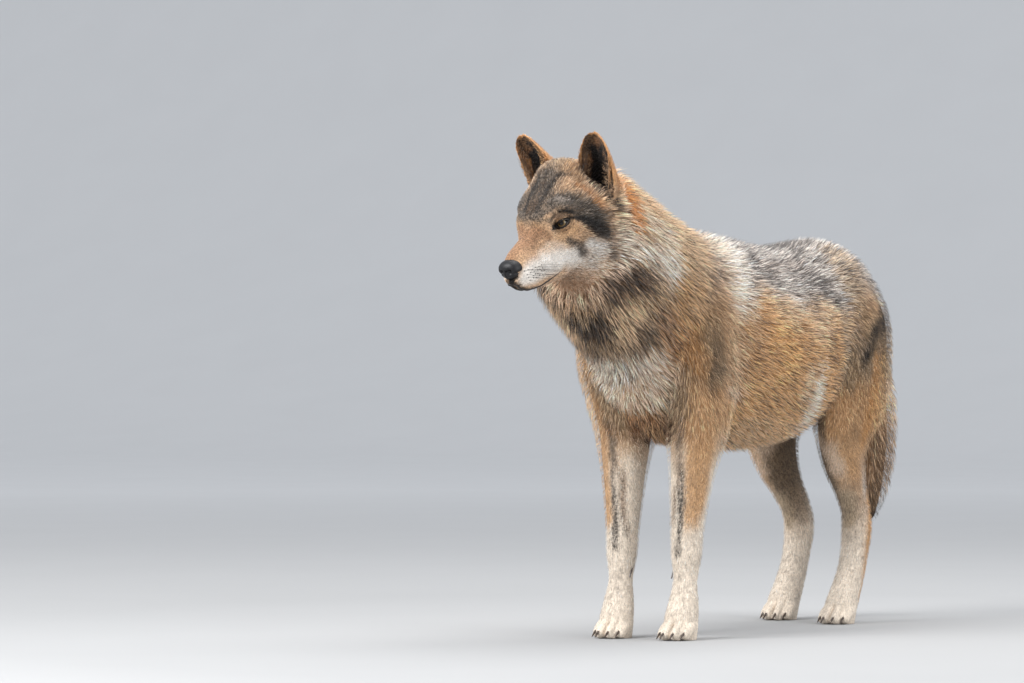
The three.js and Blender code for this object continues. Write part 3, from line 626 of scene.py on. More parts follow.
BODY_STROKES = [
    (NAPE, 1.0, [(47, -545, 867, 22), (82, -578, 828, 22), (104, -580, 780, 15)]),
    (FAWN, 0.9, [(56, -451, 841, 25), (76, -410, 809, 25), (100, -382, 772, 21)]),
    (CREAM, 0.8, [(102, -556, 801, 22), (116, -503, 770, 22), (122, -455, 744, 21)]),
    (CREAM, 1.0, [(114, -558, 726, 31), (123, -505, 702, 31), (127, -465, 680, 25)]),
    (PALE, 0.55, [(121, -518, 713, 20), (128, -466, 714, 20), (131, -440, 680, 14)]),
    (UMBER, 0.5, [(102, -588, 772, 6), (113, -557, 754, 6), (120, -530, 732, 6)]),
    (TAN, 0.9, [(75, -634, 694, 21), (92, -603, 690, 21)]),
    (UMBER, 1.0, [(79, -604, 657, 30), (97, -582, 672, 30), (110, -543, 665, 28)]),
    (UMBER, 0.9, [(26, -607, 605, 22), (55, -621, 642, 25), (76, -597, 642, 31)]),
    (FAWN, 0.85, [(55, -567, 587, 36), (77, -546, 596, 31), (69, -514, 559, 25)]),
    (GREYTAN, 0.8, [(24, -588, 587, 22), (29, -551, 559, 22)]),
    # The dark collar under the ruff, in these two strokes: partly the coat's own dark band, partly painted
    # shade under the overhanging ruff.
    (UMBER, 1.0, [(34, -590, 578, 24), (18, -567, 563, 26), (6, -552, 554, 24)]),
    (BLACK, 0.7, [(32, -592, 576, 17), (12, -568, 561, 17)]),
    (TAN, 0.8, [(18, -664, 661, 28), (6, -650, 642, 30), (15, -618, 609, 24)]),
    (TAUPE, 0.6, [(24, -669, 670, 21), (22, -650, 642, 21)]),
    # More of the dark collar under the ruff: partly dark coat, partly painted shade.
    (UMBER, 1.0, [(62, -486, 562, 16), (16, -492, 541, 19), (0, -492, 541, 19)]),
    (UMBER, 0.6, [(91, -497, 577, 25), (98, -458, 558, 21), (56, -490, 530, 22), (24, -511, 527, 18)]),
    (OCHRE, 0.9, [(130, -431, 662, 22), (126, -442, 624, 22), (119, -409, 577, 31), (126, -383, 511, 28)]),
    (BRICK, 0.7, [(112, -476, 605, 21), (105, -424, 549, 22), (76, -418, 502, 18)]),
    (UMBER, 0.9, [(72, -294, 775, 6), (111, -371, 747, 7), (127, -409, 715, 7)]),
    (GREYTAN, 0.9, [(100, -309, 748, 15), (128, -370, 709, 18), (134, -398, 671, 18)]),
    (BLACK, 0.6, [(112, -291, 724, 6), (126, -302, 697, 7), (134, -309, 662, 6)]),
    (UMBER, 0.8, [(139, -338, 605, 11), (144, -349, 558, 15), (142, -349, 511, 15), (137, -352, 469, 15)]),
    (CREAM, 1.0, [
        (48, -162, 764, 22), (90, -181, 740, 31), (123, -206, 705, 36), (142, -225, 663, 34),
        (150, -245, 625, 25)]),
    (PALE, 1.0, [(45, -139, 765, 11), (105, -179, 725, 21), (138, -209, 673, 18)]),
    (FAWN, 0.9, [(150, -282, 590, 31), (149, -272, 545, 28), (138, -276, 491, 25)]),
    (FAWN, 0.8, [(154, -257, 567, 22), (149, -238, 506, 22), (129, -225, 453, 24)]),
    (CREAM, 0.5, [(140, -290, 457, 15), (124, -233, 445, 18)]),
    (BLACK, 1.0, [(62, -64, 750, 8), (105, -107, 726, 11), (130, -135, 698, 8)]),
    (SILVER, 1.0, [(80, 17, 733, 34), (61, 162, 741, 36), (76, 243, 736, 34)]),
    (SILVER, 1.0, [(138, -96, 683, 28), (132, 22, 684, 31)]),
    (GRIZZLE, 0.8, [(116, -75, 711, 18), (104, 33, 712, 18), (89, 134, 721, 15)]),
    (BLACK, 0.7, [(48, 198, 750, 6), (95, 130, 715, 7), (138, 66, 665, 8), (159, 38, 622, 8)]),
    (GREYTAN, 0.8, [(91, 270, 722, 25), (121, 274, 676, 31), (133, 294, 626, 25)]),
    (SILVER, 0.6, [(73, 316, 743, 21), (104, 334, 711, 18)]),
    (GRIZZLE, 0.5, [(125, 167, 675, 11), (137, 197, 646, 15), (142, 223, 596, 15)]),
    (OCHRE, 1.0, [(159, -158, 615, 31), (166, -131, 558, 33), (156, -131, 490, 33)]),
    (ORANGE, 1.0, [(168, -114, 577, 31), (167, -47, 548, 28), (162, -79, 509, 31)]),
    (OCHRE, 0.9, [(167, -4, 587, 22), (165, -8, 528, 22), (150, -12, 470, 22)]),
    (TAN, 0.9, [(101, -151, 403, 25), (97, -58, 392, 24), (103, 15, 395, 22)]),
    (CREAM, 1.0, [(150, 84, 510, 14), (150, 90, 478, 26), (128, 104, 436, 32), (92, 130, 405, 32)]),
    (CREAM, 0.5, [(159, 33, 499, 15), (145, 32, 460, 18)]),
    (UMBER, 0.9, [(150, 130, 616, 7), (156, 132, 577, 10), (149, 145, 531, 8), (134, 158, 478, 6)]),
    (GREYTAN, 1.0, [(143, 211, 587, 22), (131, 245, 537, 25), (130, 247, 477, 22)]),
    (GRIZZLE, 0.6, [(134, 273, 587, 15), (139, 282, 547, 15), (145, 296, 487, 11)]),
    (GREYTAN, 0.8, [(69, 303, 747, 28), (92, 345, 723, 30), (121, 319, 677, 28)]),
    (BLACK, 1.0, [
        (110, 412, 660, 14), (124, 404, 632, 20), (138, 396, 590, 20), (143, 330, 568, 14),
        (142, 292, 530, 13)]),
    (BLACK, 0.9, [(128, 398, 628, 13), (146, 362, 600, 17), (148, 322, 576, 14)]),
    (FAWN, 0.7, [(115, 376, 667, 15), (145, 365, 556, 15)]),
    (ORANGE, 0.9, [(150, 342, 526, 15), (149, 334, 476, 18), (146, 314, 423, 21), (139, 300, 377, 21)]),
    (TAN, 0.9, [(139, 273, 407, 22), (128, 251, 367, 21)]),
    (CREAM, 0.9, [(142, 394, 506, 8), (58, 571, 453, 8)]),
    (CREAM, 1.0, [(58, 238, 367, 18), (91, 226, 348, 21), (102, 248, 307, 21)]),
    (TAUPE, 0.9, [(92, 301, 246, 21), (89, 329, 205, 18)]),
    (CREAM, 1.0, [(70, -440, 505, 34), (2, -464, 500, 40), (36, -434, 490, 40), (66, -424, 490, 34)]),
    (CREAM, 0.7, [(56, -400, 452, 32), (6, -408, 445, 34)]),
    (UMBER, 0.6, [(26, -498, 515, 6), (69, -412, 482, 6)]),
    (UMBER, 0.5, [(28, -420, 464, 6), (23, -398, 435, 6)]),
    (UMBER, 0.7, [(12, -470, 496, 5), (20, -423, 463, 6)]),
    (BRICK, 1.0, [(76, -368, 405, 18), (44, -347, 399, 21), (3, -355, 406, 21)]),
    # Painted shade under the chest, between the forelegs, laid in a dark rust.
    (RUSTDARK, 1.0, [(38, -339, 380, 15), (34, -285, 372, 15), (3, -311, 380, 11)]),
    (GREYTAN, 1.0, [(84, -392, 464, 21), (80, -377, 426, 21), (52, -357, 397, 18)]),
    (UMBER, 0.8, [(100, -374, 432, 8), (87, -365, 397, 11), (69, -364, 369, 11)]),
    (PEACH, 0.9, [(128, -366, 464, 18), (117, -358, 426, 20)]),
    (PEACH, 1.0, [(117, -341, 388, 26), (111, -342, 350, 26), (102, -345, 302, 24), (92, -351, 225, 20)]),
    (CREAM, 1.0, [(68, -363, 340, 15), (57, -358, 283, 11), (44, -350, 226, 11)]),
    (PALE, 1.0, [(42, -343, 319, 22), (42, -336, 262, 22), (44, -340, 185, 22)]),
    (GRIZZLE, 0.9, [(79, -366, 410, 12), (69, -366, 330, 11), (58, -362, 280, 8)]),
    (UMBER, 0.6, [(62, -362, 300, 5), (56, -360, 250, 7), (52, -354, 205, 7)]),
    (BLACK, 0.7, [(78, -366, 340, 5), (73, -366, 280, 6), (70, -366, 220, 7), (66, -362, 165, 6)]),
    (PEACH, 0.85, [(98, -368, 390, 16), (94, -364, 310, 13), (88, -362, 240, 11)]),
    (ORANGE, 0.9, [
        (108, 374, 250, 24), (108, 382, 203, 22), (108, 372, 125, 20), (105, 346, 70, 18),
        (101, 330, 40, 13)]),
    # Painted shade: taupe laid down the inner side of each hind foot's long bones.
    (TAUPE, 0.6, [(66, 392, 200, 18), (66, 376, 130, 18), (66, 356, 90, 14)]),
    (FAWN, 0.9, [(34, 540, 560, 50), (36, 585, 420, 44)]),
    (UMBER, 0.7, [(20, 600, 340, 50), (16, 600, 280, 44)]),
    (SOOT, 1.0, [(0, 600, 236, 34), (0, 604, 200, 40)]),
    (BLACK, 0.8, [(0, -60, 765, 36), (0, 60, 762, 31), (0, 300, 740, 28)]),
]


def near_stroke(points, stroke):
    """Distance from each point to a stroke, as a share of its radius there; the least over its lengths."""
    path = np.array(stroke, float)
    nearest = np.full(len(points), 9.0)
    for a, b in zip(path[:-1], path[1:]):
        ab = b[:3] - a[:3]
        t = np.clip((points - a[:3]) @ ab / (ab @ ab), 0, 1)
        gap = np.linalg.norm(points - a[:3] - t[:, None] * ab, axis=1)
        nearest = np.minimum(nearest, gap / (a[3] + t * (b[3] - a[3])))
    return nearest


def mottle(points, size, seed):
    """Smooth random values from -1 to 1, of this size in mm: eight corners of a lattice, blended."""
    cell = points / size + seed * 17.31
    whole = np.floor(cell).astype(np.int64)
    part = smoothly(cell - whole, 0, 1)
    value = np.zeros(len(points))
    for corner in np.ndindex(2, 2, 2):
        key = (whole + corner) @ np.array([73856093, 19349663, 83492791]) + seed * 2654435
        key = (key ^ (key >> 13)) * 1274126177
        random = ((key ^ (key >> 16)) & 65535) / 32767.5 - 1
        weight = np.prod(np.where(np.array(corner) == 1, part, 1 - part), axis=1)
        value += weight * random
    return value


def markings(points, height, share, cup, shaded_hollow):
    """The shade of the coat at each point: a base by body part and height, then every stroke over it, then
    the insides of the ears and the dark flecks of the saddle. A stroke covers what lies under it by its
    strength up to 0.35 of its radius, and by less out to 1.6. Its edge wanders by up to 12 mm, by less on
    the head, and not at all close to the eyes."""
    z = points[:, 2]
    coat = np.tile(TAN, (len(points), 1))

    def lay(colour, amount):
        """Covers the coat with a shade, by an amount from 0 to 1 at each point."""
        coat[:] = coat + (colour - coat) * amount[:, None]

    wander = points + 9 * np.stack([mottle(points, 34, k) for k in (1, 2, 3)], 1)
    wander += 4 * np.stack([mottle(points, 9, k) for k in (4, 5, 6)], 1)
    top = height + 0.22 * mottle(points, 60, 7)
    rear = smoothly(points[:, 1], 120, 320)
    lay(OCHRE, smoothly(top, -0.95, -0.7))
    lay(FAWN, smoothly(top, -0.1 - 0.3 * rear, 0.3 - 0.2 * rear))
    lay(SILVER, smoothly(top, 0.30 - 0.45 * rear, 0.62 - 0.35 * rear))
    lay(GREYTAN, 0.8 * share[:, 1] * smoothly(-top, -0.2, 0.5))
    lay(FAWN, share[:, 1] * smoothly(top, 0, 0.5))
    lay(FAWN, share[:, 3])
    lay(FAWN, share[:, 0])
    leg = share[:, 4] + share[:, 5]
    lay(SILVER, leg * smoothly(z, 610, 680))
    lay(GREYTAN, leg * smoothly(z, 430, 500) * (1 - smoothly(z, 610, 680)))
    lay(PEACH, leg * smoothly(z, 250, 360) * (1 - smoothly(z, 430, 500)))
    lay(PALE, share[:, 4] * (1 - smoothly(z, 290, 420)))
    lay(PALE, share[:, 5] * (1 - smoothly(z, 130, 330)))
    # The inner side of each hind leg, from about 150 mm up: taupe, and over it umber as painted shade on the
    # side turned from the light.
    shaded_inner_thigh = share[:, 5] * smoothly(z, 150, 290) * (1 - smoothly(np.abs(points[:, 0]), 78, 96))
    lay(TAUPE, 0.8 * shaded_inner_thigh)
    lay(UMBER, 0.6 * shaded_inner_thigh)

    body = np.abs(wander[:, :1]) * [1, 0, 0] + wander * [0, 1, 1]
    body[:, 1] -= (HIND_STEP[-1] - HIND_STEP[1]) * (step_at(z) * share[:, 5] * (points[:, 0] < 0))
    for colour, strength, stroke in BODY_STROKES:
        over = strength * (1 - smoothly(near_stroke(body, stroke), 0.35, 1.6))
        lay(colour, over * (1 - share[:, 0]))
    face = to_head(points)
    from_eye = np.linalg.norm(face * np.where(face[:, :1] < 0, [[-1, 1, 1]], [[1, 1, 1]]) - EYE_AT, axis=1)
    face = to_head(points + (wander - points) * (0.4 * smoothly(from_eye, 26, 60))[:, None])
    face[:, 0] = np.abs(face[:, 0])
    for colour, strength, stroke in HEAD_STROKES:
        over = strength * (1 - smoothly(near_stroke(face, stroke), 0.4, 1.6))
        lay(colour, over * np.clip(share[:, 0] + share[:, 1] + share[:, 6], 0, 1))

    # The ears: rust outside with an orange root, and inside them dark skin under thin rusty hair, with black
    # blotches, and black deep in each cup as painted shade of the hollow. Each has a fawn edge low on its
    # outer side, and the right one a rust one on its inner side.
    rise, off, _ = on_ear(face)
    inside, outer_side = smoothly(cup, 0.1, 0.6), off / EAR_WIDTH
    lay(RUST, share[:, 6] * smoothly(face[:, 2], 78, 100))
    lay(NAPE, 0.4 * share[:, 6] * smoothly(face[:, 1], 236, 262) * (1 - cup))
    lay(UMBER, 0.9 * inside)
    lay(BRICK, 0.75 * inside * smoothly(mottle(points, 12, 13), -0.2, 0.6))
    lay(SOOT, inside * smoothly(mottle(points, 14, 10) + 2.2 * shaded_hollow, 0.2, 1.0))
    lay(RUST, 0.85 * inside * smoothly(-outer_side, 0.1, 0.4) * (points[:, 0] < HEAD_AT[0]))
    lay(FAWN, 0.9 * inside * smoothly(outer_side, 0.42, 0.66) * (1 - smoothly(rise, 0.3, 0.6)))

    saddle = smoothly(top, 0.15 - 0.3 * rear, 0.5 - 0.3 * rear) * (share[:, 2] + share[:, 5])
    saddle *= smoothly(points[:, 1], -140, -60) * smoothly(z, 500, 620)
    lay(BLACK, 0.62 * saddle * smoothly(mottle(points * [1, 1, 0.6], 21, 12), 0.15, 0.7))
    patches = 1 + 0.10 * mottle(points, 26, 8) + 0.07 * mottle(points, 11, 9)
    coat[:, :6] *= patches[:, None]
    return coat


# The markings are read where the hair shows: out in the coat on the body, and on the skin itself on the
# face. Deep coat catches more light, so it is a little brighter than short.
lift = UNDERFUR * depth * (1 - share[:, 0])
glow = 0.91 + 0.35 * smoothly(depth, 6, 34)
# How far into the hollow of each ear's cup a point lies, where black is laid as painted shade.
ear_hollow_shade = cup * (1 - smoothly(np.abs(cup_across), 0.3, 0.75)) * (1 - smoothly(cup_up, 0.45, 0.9))
hide_coat = markings(hide + hide_normals * lift[:, None], height, share, cup, ear_hollow_shade)
hide_coat[:, :6] *= glow[:, None]

# ---------------------------------------------------------------- the skin
# One tanned skin over the whole form, glued down without a seam showing. What is seen of it is the
# dense underfur between the guard hairs, and on the muzzle and the feet the short flat fur itself.


def add(tree, kind, inputs=None, **settings):
    """A node with its settings, each of its inputs linked to a socket or set to a value."""
    node = tree.nodes.new(kind)
    for name, value in settings.items():
        setattr(node, name, value)
    for name, value in (inputs or {}).items():
        if isinstance(value, bpy.types.NodeSocket):
            tree.links.new(value, node.inputs[name])
        else:
            node.inputs[name].default_value = value
    return node


def finish(name):
    """A material with an empty node tree, and that tree."""
    material = bpy.data.materials.new(name)
    material.use_nodes = True
    material.node_tree.nodes.clear()
    return material, material.node_tree


def surface(tree, shader_inputs):
    """The shader and the output that end a material's tree."""
    shader = add(tree, "ShaderNodeBsdfPrincipled", shader_inputs)
    add(tree, "ShaderNodeOutputMaterial", {"Surface": shader.outputs["BSDF"]})


def span(start, end, low, high):
    """A Map Range node's inputs: values from start to end become values from low to high."""
    return {"From Min": start, "From Max": end, "To Min": low, "To Max": high}


def on_points(mesh, name, values):
    """Gives each point of a mesh a number, or three, for its material to read."""
    kind, field = ("FLOAT", "value") if values.ndim == 1 else ("FLOAT_VECTOR", "vector")
    layer = mesh.attributes.new(name, kind, "POINT")
    layer.data.foreach_set(field, values.astype(np.float32).ravel())


def colours(mesh, values):
    """Gives a mesh its coat colours, one for each point."""
    layer = mesh.attributes.new("coat", "FLOAT_COLOR", "POINT")
    rgba = np.concatenate([np.clip(values, 0, 1), np.ones((len(values), 1))], 1)
    layer.data.foreach_set("color", rgba.astype(np.float32).ravel())


# Underfur: a felt of fine wool, dull and soft. Streaks 2 mm wide and 14 mm long run with the hair, to
# break the light as parted wool does. Where short hair is ticked, dots of 4 mm pepper it light and dark.
underfur, tree = finish("underfur felt")
coat_colour = add(tree, "ShaderNodeAttribute", attribute_name="coat")
lie = add(tree, "ShaderNodeAttribute", attribute_name="lie")
stretch = add(tree, "ShaderNodeMapping", {"Vector": lie.outputs["Vector"], "Scale": (0.07, 0.5, 1.0)})
streak = add(tree, "ShaderNodeTexNoise", {"Vector": stretch.outputs["Vector"], "Scale": 1.0, "Detail": 3.0})
spread = add(tree, "ShaderNodeMapRange", {"Value": streak.outputs["Fac"], **span(0.3, 0.7, 0.72, 1.16)})
ticking = add(tree, "ShaderNodeAttribute", attribute_name="grizzled")
place = add(tree, "ShaderNodeTexCoord").outputs["Object"]
dots = add(tree, "ShaderNodeTexNoise", {"Vector": place, "Scale": 260.0, "Detail": 2.0})
salt = add(tree, "ShaderNodeMapRange", {"Value": dots.outputs["Fac"], **span(0.40, 0.60, -1.0, 1.0)})
pepper = add(tree, "ShaderNodeMath", {
    0: salt.outputs["Result"], 1: ticking.outputs["Fac"], 2: 1.0}, operation="MULTIPLY_ADD")
toned = add(tree, "ShaderNodeMath", {
    0: spread.outputs["Result"], 1: pepper.outputs["Value"]}, operation="MULTIPLY")
tint = add(tree, "ShaderNodeVectorMath", {
    0: coat_colour.outputs["Color"], "Scale": toned.outputs["Value"]}, operation="SCALE")
bump = add(tree, "ShaderNodeBump", {"Height": streak.outputs["Fac"], "Strength": 0.6, "Distance": 0.002})
surface(tree, {
    "Base Color": tint.outputs["Vector"], "Roughness": 0.85, "Specular IOR Level": 0.2, "Sheen Weight": 0.1,
    "Normal": bump.outputs["Normal"]})

# Long coat shows its underfur here, painted down to 0.78 of its colour as painted shade between the hairs,
# and to 0.9 under short coat; short coat a mixture of both hairs, and dark tips darken either.
short = 1 - smoothly(depth, 5, 22)
blend = 0.35 * short[:, None]
felt = hide_coat[:, :3] * (0.78 + 0.12 * short[:, None]) * (1 - blend) + hide_coat[:, 3:6] * blend
felt = felt * (1 - 0.35 * hide_coat[:, 6:]) + TIP * 0.35 * hide_coat[:, 6:]
colours(hide_mesh, felt)
write(hide_mesh, lean(hide))
on_points(hide_mesh, "grizzled", 0.11 + 0.95 * hide_coat[:, 6] * short)
on_points(hide_mesh, "lie", np.concatenate([chart, chart[:, :1] * 0], 1))
skin = bpy.data.objects.new("skin", hide_mesh)
bpy.context.scene.collection.objects.link(skin)
hide_mesh.materials.append(underfur)
hide_mesh.polygons.foreach_set("use_smooth", np.ones(len(hide_mesh.polygons), bool))
bpy.ops.object.select_all(action="DESELECT")
bpy.context.view_layer.objects.active = skin
skin.select_set(True)
bpy.ops.object.mode_set(mode="EDIT")
bpy.ops.mesh.select_all(action="SELECT")
bpy.ops.uv.smart_project(angle_limit=1.15, island_margin=0.002)
bpy.ops.object.mode_set(mode="OBJECT")
hide_mesh.uv_layers.active.name = "OFBake"
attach(skin, "root")
FLESH = ["head", "lower_jaw", "ear_left", "ear_right", "neck", "trunk", "tail"]
FLESH += [f"foreleg_{side}_{part}" for side in ("left", "right") for part in ("shoulder", "forearm", "paw")]
FLESH += [f"hindleg_{side}_{part}" for side in ("left", "right") for part in ("thigh", "shank", "paw")]
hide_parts(*FLESH)

# ---------------------------------------------------------------- the coat
# Guard hairs, of banded keratin, grow in tufts out of the skin and lie back over one another like thatch,
# longest on the neck and back and finest on the face. Each tuft is a thin closed blade that rises and then
# bends flat.

hide_mesh.calc_loop_triangles()
corner_count = len(hide_mesh.loop_triangles)
corners = np.empty(corner_count * 3, np.int32)
hide_mesh.loop_triangles.foreach_get("vertices", corners)
corners = corners.reshape(-1, 3)
corner_loops = np.empty(corner_count * 3, np.int32)
hide_mesh.loop_triangles.foreach_get("loops", corner_loops)
unwrap = np.empty(len(hide_mesh.loops) * 2, np.float32)
hide_mesh.uv_layers["OFBake"].data.foreach_get("uv", unwrap)
unwrap = unwrap.reshape(-1, 2)[corner_loops.reshape(-1, 3)]
a, b, c = (hide[corners[:, k]] for k in range(3))
areas = np.linalg.norm(np.cross(b - a, c - a), axis=1) / 2


def scatter(spacing, keep, seed):
    """Roots over the skin, one for each spacing^2 of it, and their three corners' weights: even steps up
    the running total of area / spacing^2, a little shaken."""
    rng = np.random.default_rng(seed)
    crowd = areas * (keep / spacing**2)[corners].mean(1)
    total = np.cumsum(crowd)
    count = int(total[-1])
    steps = (np.arange(count) + rng.random(count)) / count * total[-1]
    triangle = np.minimum(np.searchsorted(total, steps), corner_count - 1)
    u, v = np.sqrt(rng.random(count)), rng.random(count)
    return triangle, np.stack([1 - u, u * (1 - v), u * v], 1), rng


side_x = np.abs(face[:, 0])
middle, gaze, outer, upper = eye_axes(1)
reach = np.stack([side_x, face[:, 1], face[:, 2]], 1) - middle
bare_eye = (opening(reach @ outer * 0.78, reach @ upper * 0.8) < 1.1) & (reach @ gaze > -4)
bare_nose = (face[:, 1] < 20) & (face[:, 2] > -26) & (side_x < 22)
keep = (~bare_eye & ~bare_nose & (hide[:, 2] > 3)).astype(float)

snout = share[:, 0] * (1 - smoothly(face[:, 1], 90, 130))
spacing = share @ np.array([2.8, 3.5, 3.8, 4.0, 3.8, 3.9, 2.7])
spacing -= share[:, 0] * 0.7 * (1 - smoothly(face[:, 1], 150, 220))
spacing -= snout * 0.2
triangle, weight, rng = scatter(spacing, keep, 11)
pick = lambda values: (values[corners[triangle]] * weight[..., None]).sum(1)
root, out, way = pick(hide), unit(pick(hide_normals)), pick(flow)
deep, high, owned = pick(depth[:, None])[:, 0], pick(height[:, None])[:, 0], pick(share)
root_uv = (unwrap[triangle] * weight[..., None]).sum(1)
count = len(root)

# Neighbouring hairs wander together, so that the coat parts into locks.
swirl = np.stack([mottle(root, 46, k) for k in (21, 22, 23)], 1) * 0.20
swirl += np.stack([mottle(root, 15, k) for k in (24, 25, 26)], 1) * 0.18
swirl += rng.normal(0, 0.19, (count, 3))
loose = smoothly(deep, 3, 30)[:, None]
way = way + swirl * (0.3 + 0.5 * loose)
way = unit(way - out * (way * out).sum(1, keepdims=True))

length = np.clip(UNDERFUR * deep / 0.56, 5.0, 46) * rng.uniform(0.7, 1.15, count)
length *= 1 - 0.35 * pick(snout[:, None])[:, 0]
length = np.maximum(length, 11 * (owned[:, 4] + owned[:, 5]) * (1 - smoothly(-root[:, 2], -60, -20)))
width = np.clip(length * 0.042, 0.7 + 0.3 * owned[:, 0], 1.7) * rng.uniform(0.7, 1.3, count)
rise = np.clip(np.arcsin(np.clip(UNDERFUR * deep / length / 0.66, 0.05, 0.92)), 0.16, 1.05)
rise = rise * rng.uniform(0.75, 1.15, count)

# A hair takes its shade from where its outer half lies, as the skin does, and strays a few millimetres from
# there, so that the edge of a patch is ragged. On the face it hardly strays.
stray = rng.normal(0, 1, (count, 3)) * np.clip(owned @ np.array([1.2, 8, 8, 8, 4, 4, 1.6]), 1.2, 8)[:, None]
off_face = (1 - 0.85 * owned[:, 0])[:, None]
seen_at = root + out * (UNDERFUR * deep)[:, None] * off_face
seen_at = seen_at + way * (0.6 * length)[:, None] * off_face + stray
bands = markings(seen_at, high, owned, pick(cup[:, None])[:, 0], pick(ear_hollow_shade[:, None])[:, 0])
bands[:, :6] *= pick(glow[:, None])
# Painted light: each tuft's root colour is lifted 0.3 of the way towards its guard hair's, standing in for
# light through the hair and softening the shade between tufts.
bands[:, :3] += 0.3 * (bands[:, 3:6] - bands[:, :3])

# Hairs of one lock share a tone, and lean towards its middle. A fine speckle darkens single hairs.
LOCK = 13.0  # mm across a lock of hair
shifted = root + 4 * np.stack([mottle(root, 22, k) for k in (31, 32, 33)], 1)
cells = np.floor(shifted / LOCK).astype(np.int64)
_, lock = np.unique(cells @ np.array([73856093, 19349663, 83492791]), return_inverse=True)
lock_size = np.bincount(lock)
lock_tone = rng.normal(0, 0.09, len(lock_size))[lock]
speck = mottle(root, 4.0, 34) + 0.6 * mottle(root, 7.5, 35) + 0.8 * owned[:, 0] * mottle(root, 3.0, 36)


def gathered(values):
    """Each hair's value replaced by its lock's mean."""
    return np.stack([np.bincount(lock, values[:, k]) / lock_size for k in range(values.shape[1])], 1)[lock]


# A tuft's points are three at its root, three at its bend and one at its tip. These are its triangles, how
# far up each point is, how much each of its two lengths is turned and how wide it starts, as shares.
BLADE = np.array([
    [0, 1, 2], [0, 3, 1], [1, 3, 4], [1, 4, 2], [2, 4, 5],
    [2, 5, 0], [0, 5, 3], [3, 6, 4], [4, 6, 5], [5, 6, 3],
])
BLADE_UP = np.array([0, 0, 0, 0.5, 0.5, 0.5, 1])
BLADE_TURN, BLADE_GIRTH = np.array([1.3, 0.4]), np.array([0.85, 0.8])


def tufts(chosen):
    """The blades' points and triangles: from the root, each length turns from the rise angle down to the
    skin; the tips are drawn towards their lock's; three edges run to one tip."""
    along, off = way[chosen], out[chosen]
    angle = rise[chosen, None] * BLADE_TURN
    go = along[:, None] * np.cos(angle)[..., None] + off[:, None] * np.sin(angle)[..., None]
    steps = np.cumsum(go * (length[chosen, None, None] / 2), 1)
    path = np.concatenate([np.zeros((len(chosen), 1, 3)), steps], 1)
    path = path + (root[chosen] - 1.0 * off)[:, None]
    path = path + pull_in[chosen, None] * (np.array([0, 0.5, 1]) ** 1.5)[None, :, None]
    across = unit(np.cross(along, off))
    roll = rng.uniform(-0.6, 0.6, len(chosen))[:, None]
    flat, ridge = across * np.cos(roll) + off * np.sin(roll), off * np.cos(roll) - across * np.sin(roll)
    half = width[chosen, None, None] * BLADE_GIRTH[None, :, None] / 2
    body, to_side, to_ridge = path[:, :2], flat[:, None] * half, ridge[:, None] * half * 0.8
    rings = np.stack([body + to_side, body - to_side, body + to_ridge], 2)
    made = np.concatenate([rings.reshape(len(chosen), -1, 3), path[:, -1:]], 1)
    made[..., 2] = np.maximum(made[..., 2], 0.4)
    faces = BLADE[None] + (np.arange(len(chosen)) * len(BLADE_UP))[:, None, None]
    return made, faces.reshape(-1, 3)


pull_in = gathered(root + way * length[:, None]) - (root + way * length[:, None])
pull_in *= (np.minimum(1, 0.35 * length / np.maximum(np.linalg.norm(pull_in, axis=1), 1e-6)) * 0.33)[:, None]

# Guard hair: smooth, stiff keratin, which catches a little light along its length.
guard, tree = finish("guard hair")
coat_colour = add(tree, "ShaderNodeAttribute", attribute_name="coat")
place = add(tree, "ShaderNodeTexCoord").outputs["Object"]
grain = add(tree, "ShaderNodeTexNoise", {"Vector": place, "Scale": 320.0, "Detail": 2.0})
spread = add(tree, "ShaderNodeMapRange", {"Value": grain.outputs["Fac"], **span(0.3, 0.7, 0.86, 1.1)})
tint = add(tree, "ShaderNodeVectorMath", {
    0: coat_colour.outputs["Color"], "Scale": spread.outputs["Result"]}, operation="SCALE")
surface(tree, {
    "Base Color": tint.outputs["Vector"], "Roughness": 0.6, "Specular IOR Level": 0.25, "Sheen Weight": 0.15})


def build(name, points, faces, material):
    """A piece from arrays of points in mm and of triangles."""
    mesh = bpy.data.meshes.new(name)
    mesh.vertices.add(len(points))
    mesh.vertices.foreach_set("co", ((lean(points) - CENTRE) * MM).astype(np.float32).ravel())
    mesh.loops.add(faces.size)
    mesh.loops.foreach_set("vertex_index", faces.astype(np.int32).ravel())
    mesh.polygons.add(len(faces))
    mesh.polygons.foreach_set("loop_start", np.arange(0, faces.size, faces.shape[1], dtype=np.int32))
    mesh.polygons.foreach_set("use_smooth", np.ones(len(faces), bool))
    mesh.update(calc_edges=True)
    mesh.materials.append(material)
    piece = bpy.data.objects.new(name, mesh)
    bpy.context.scene.collection.objects.link(piece)
    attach(piece, "root")
    return piece


PATCH = 0.0014  # half the size of a tuft's patch on the unwrap


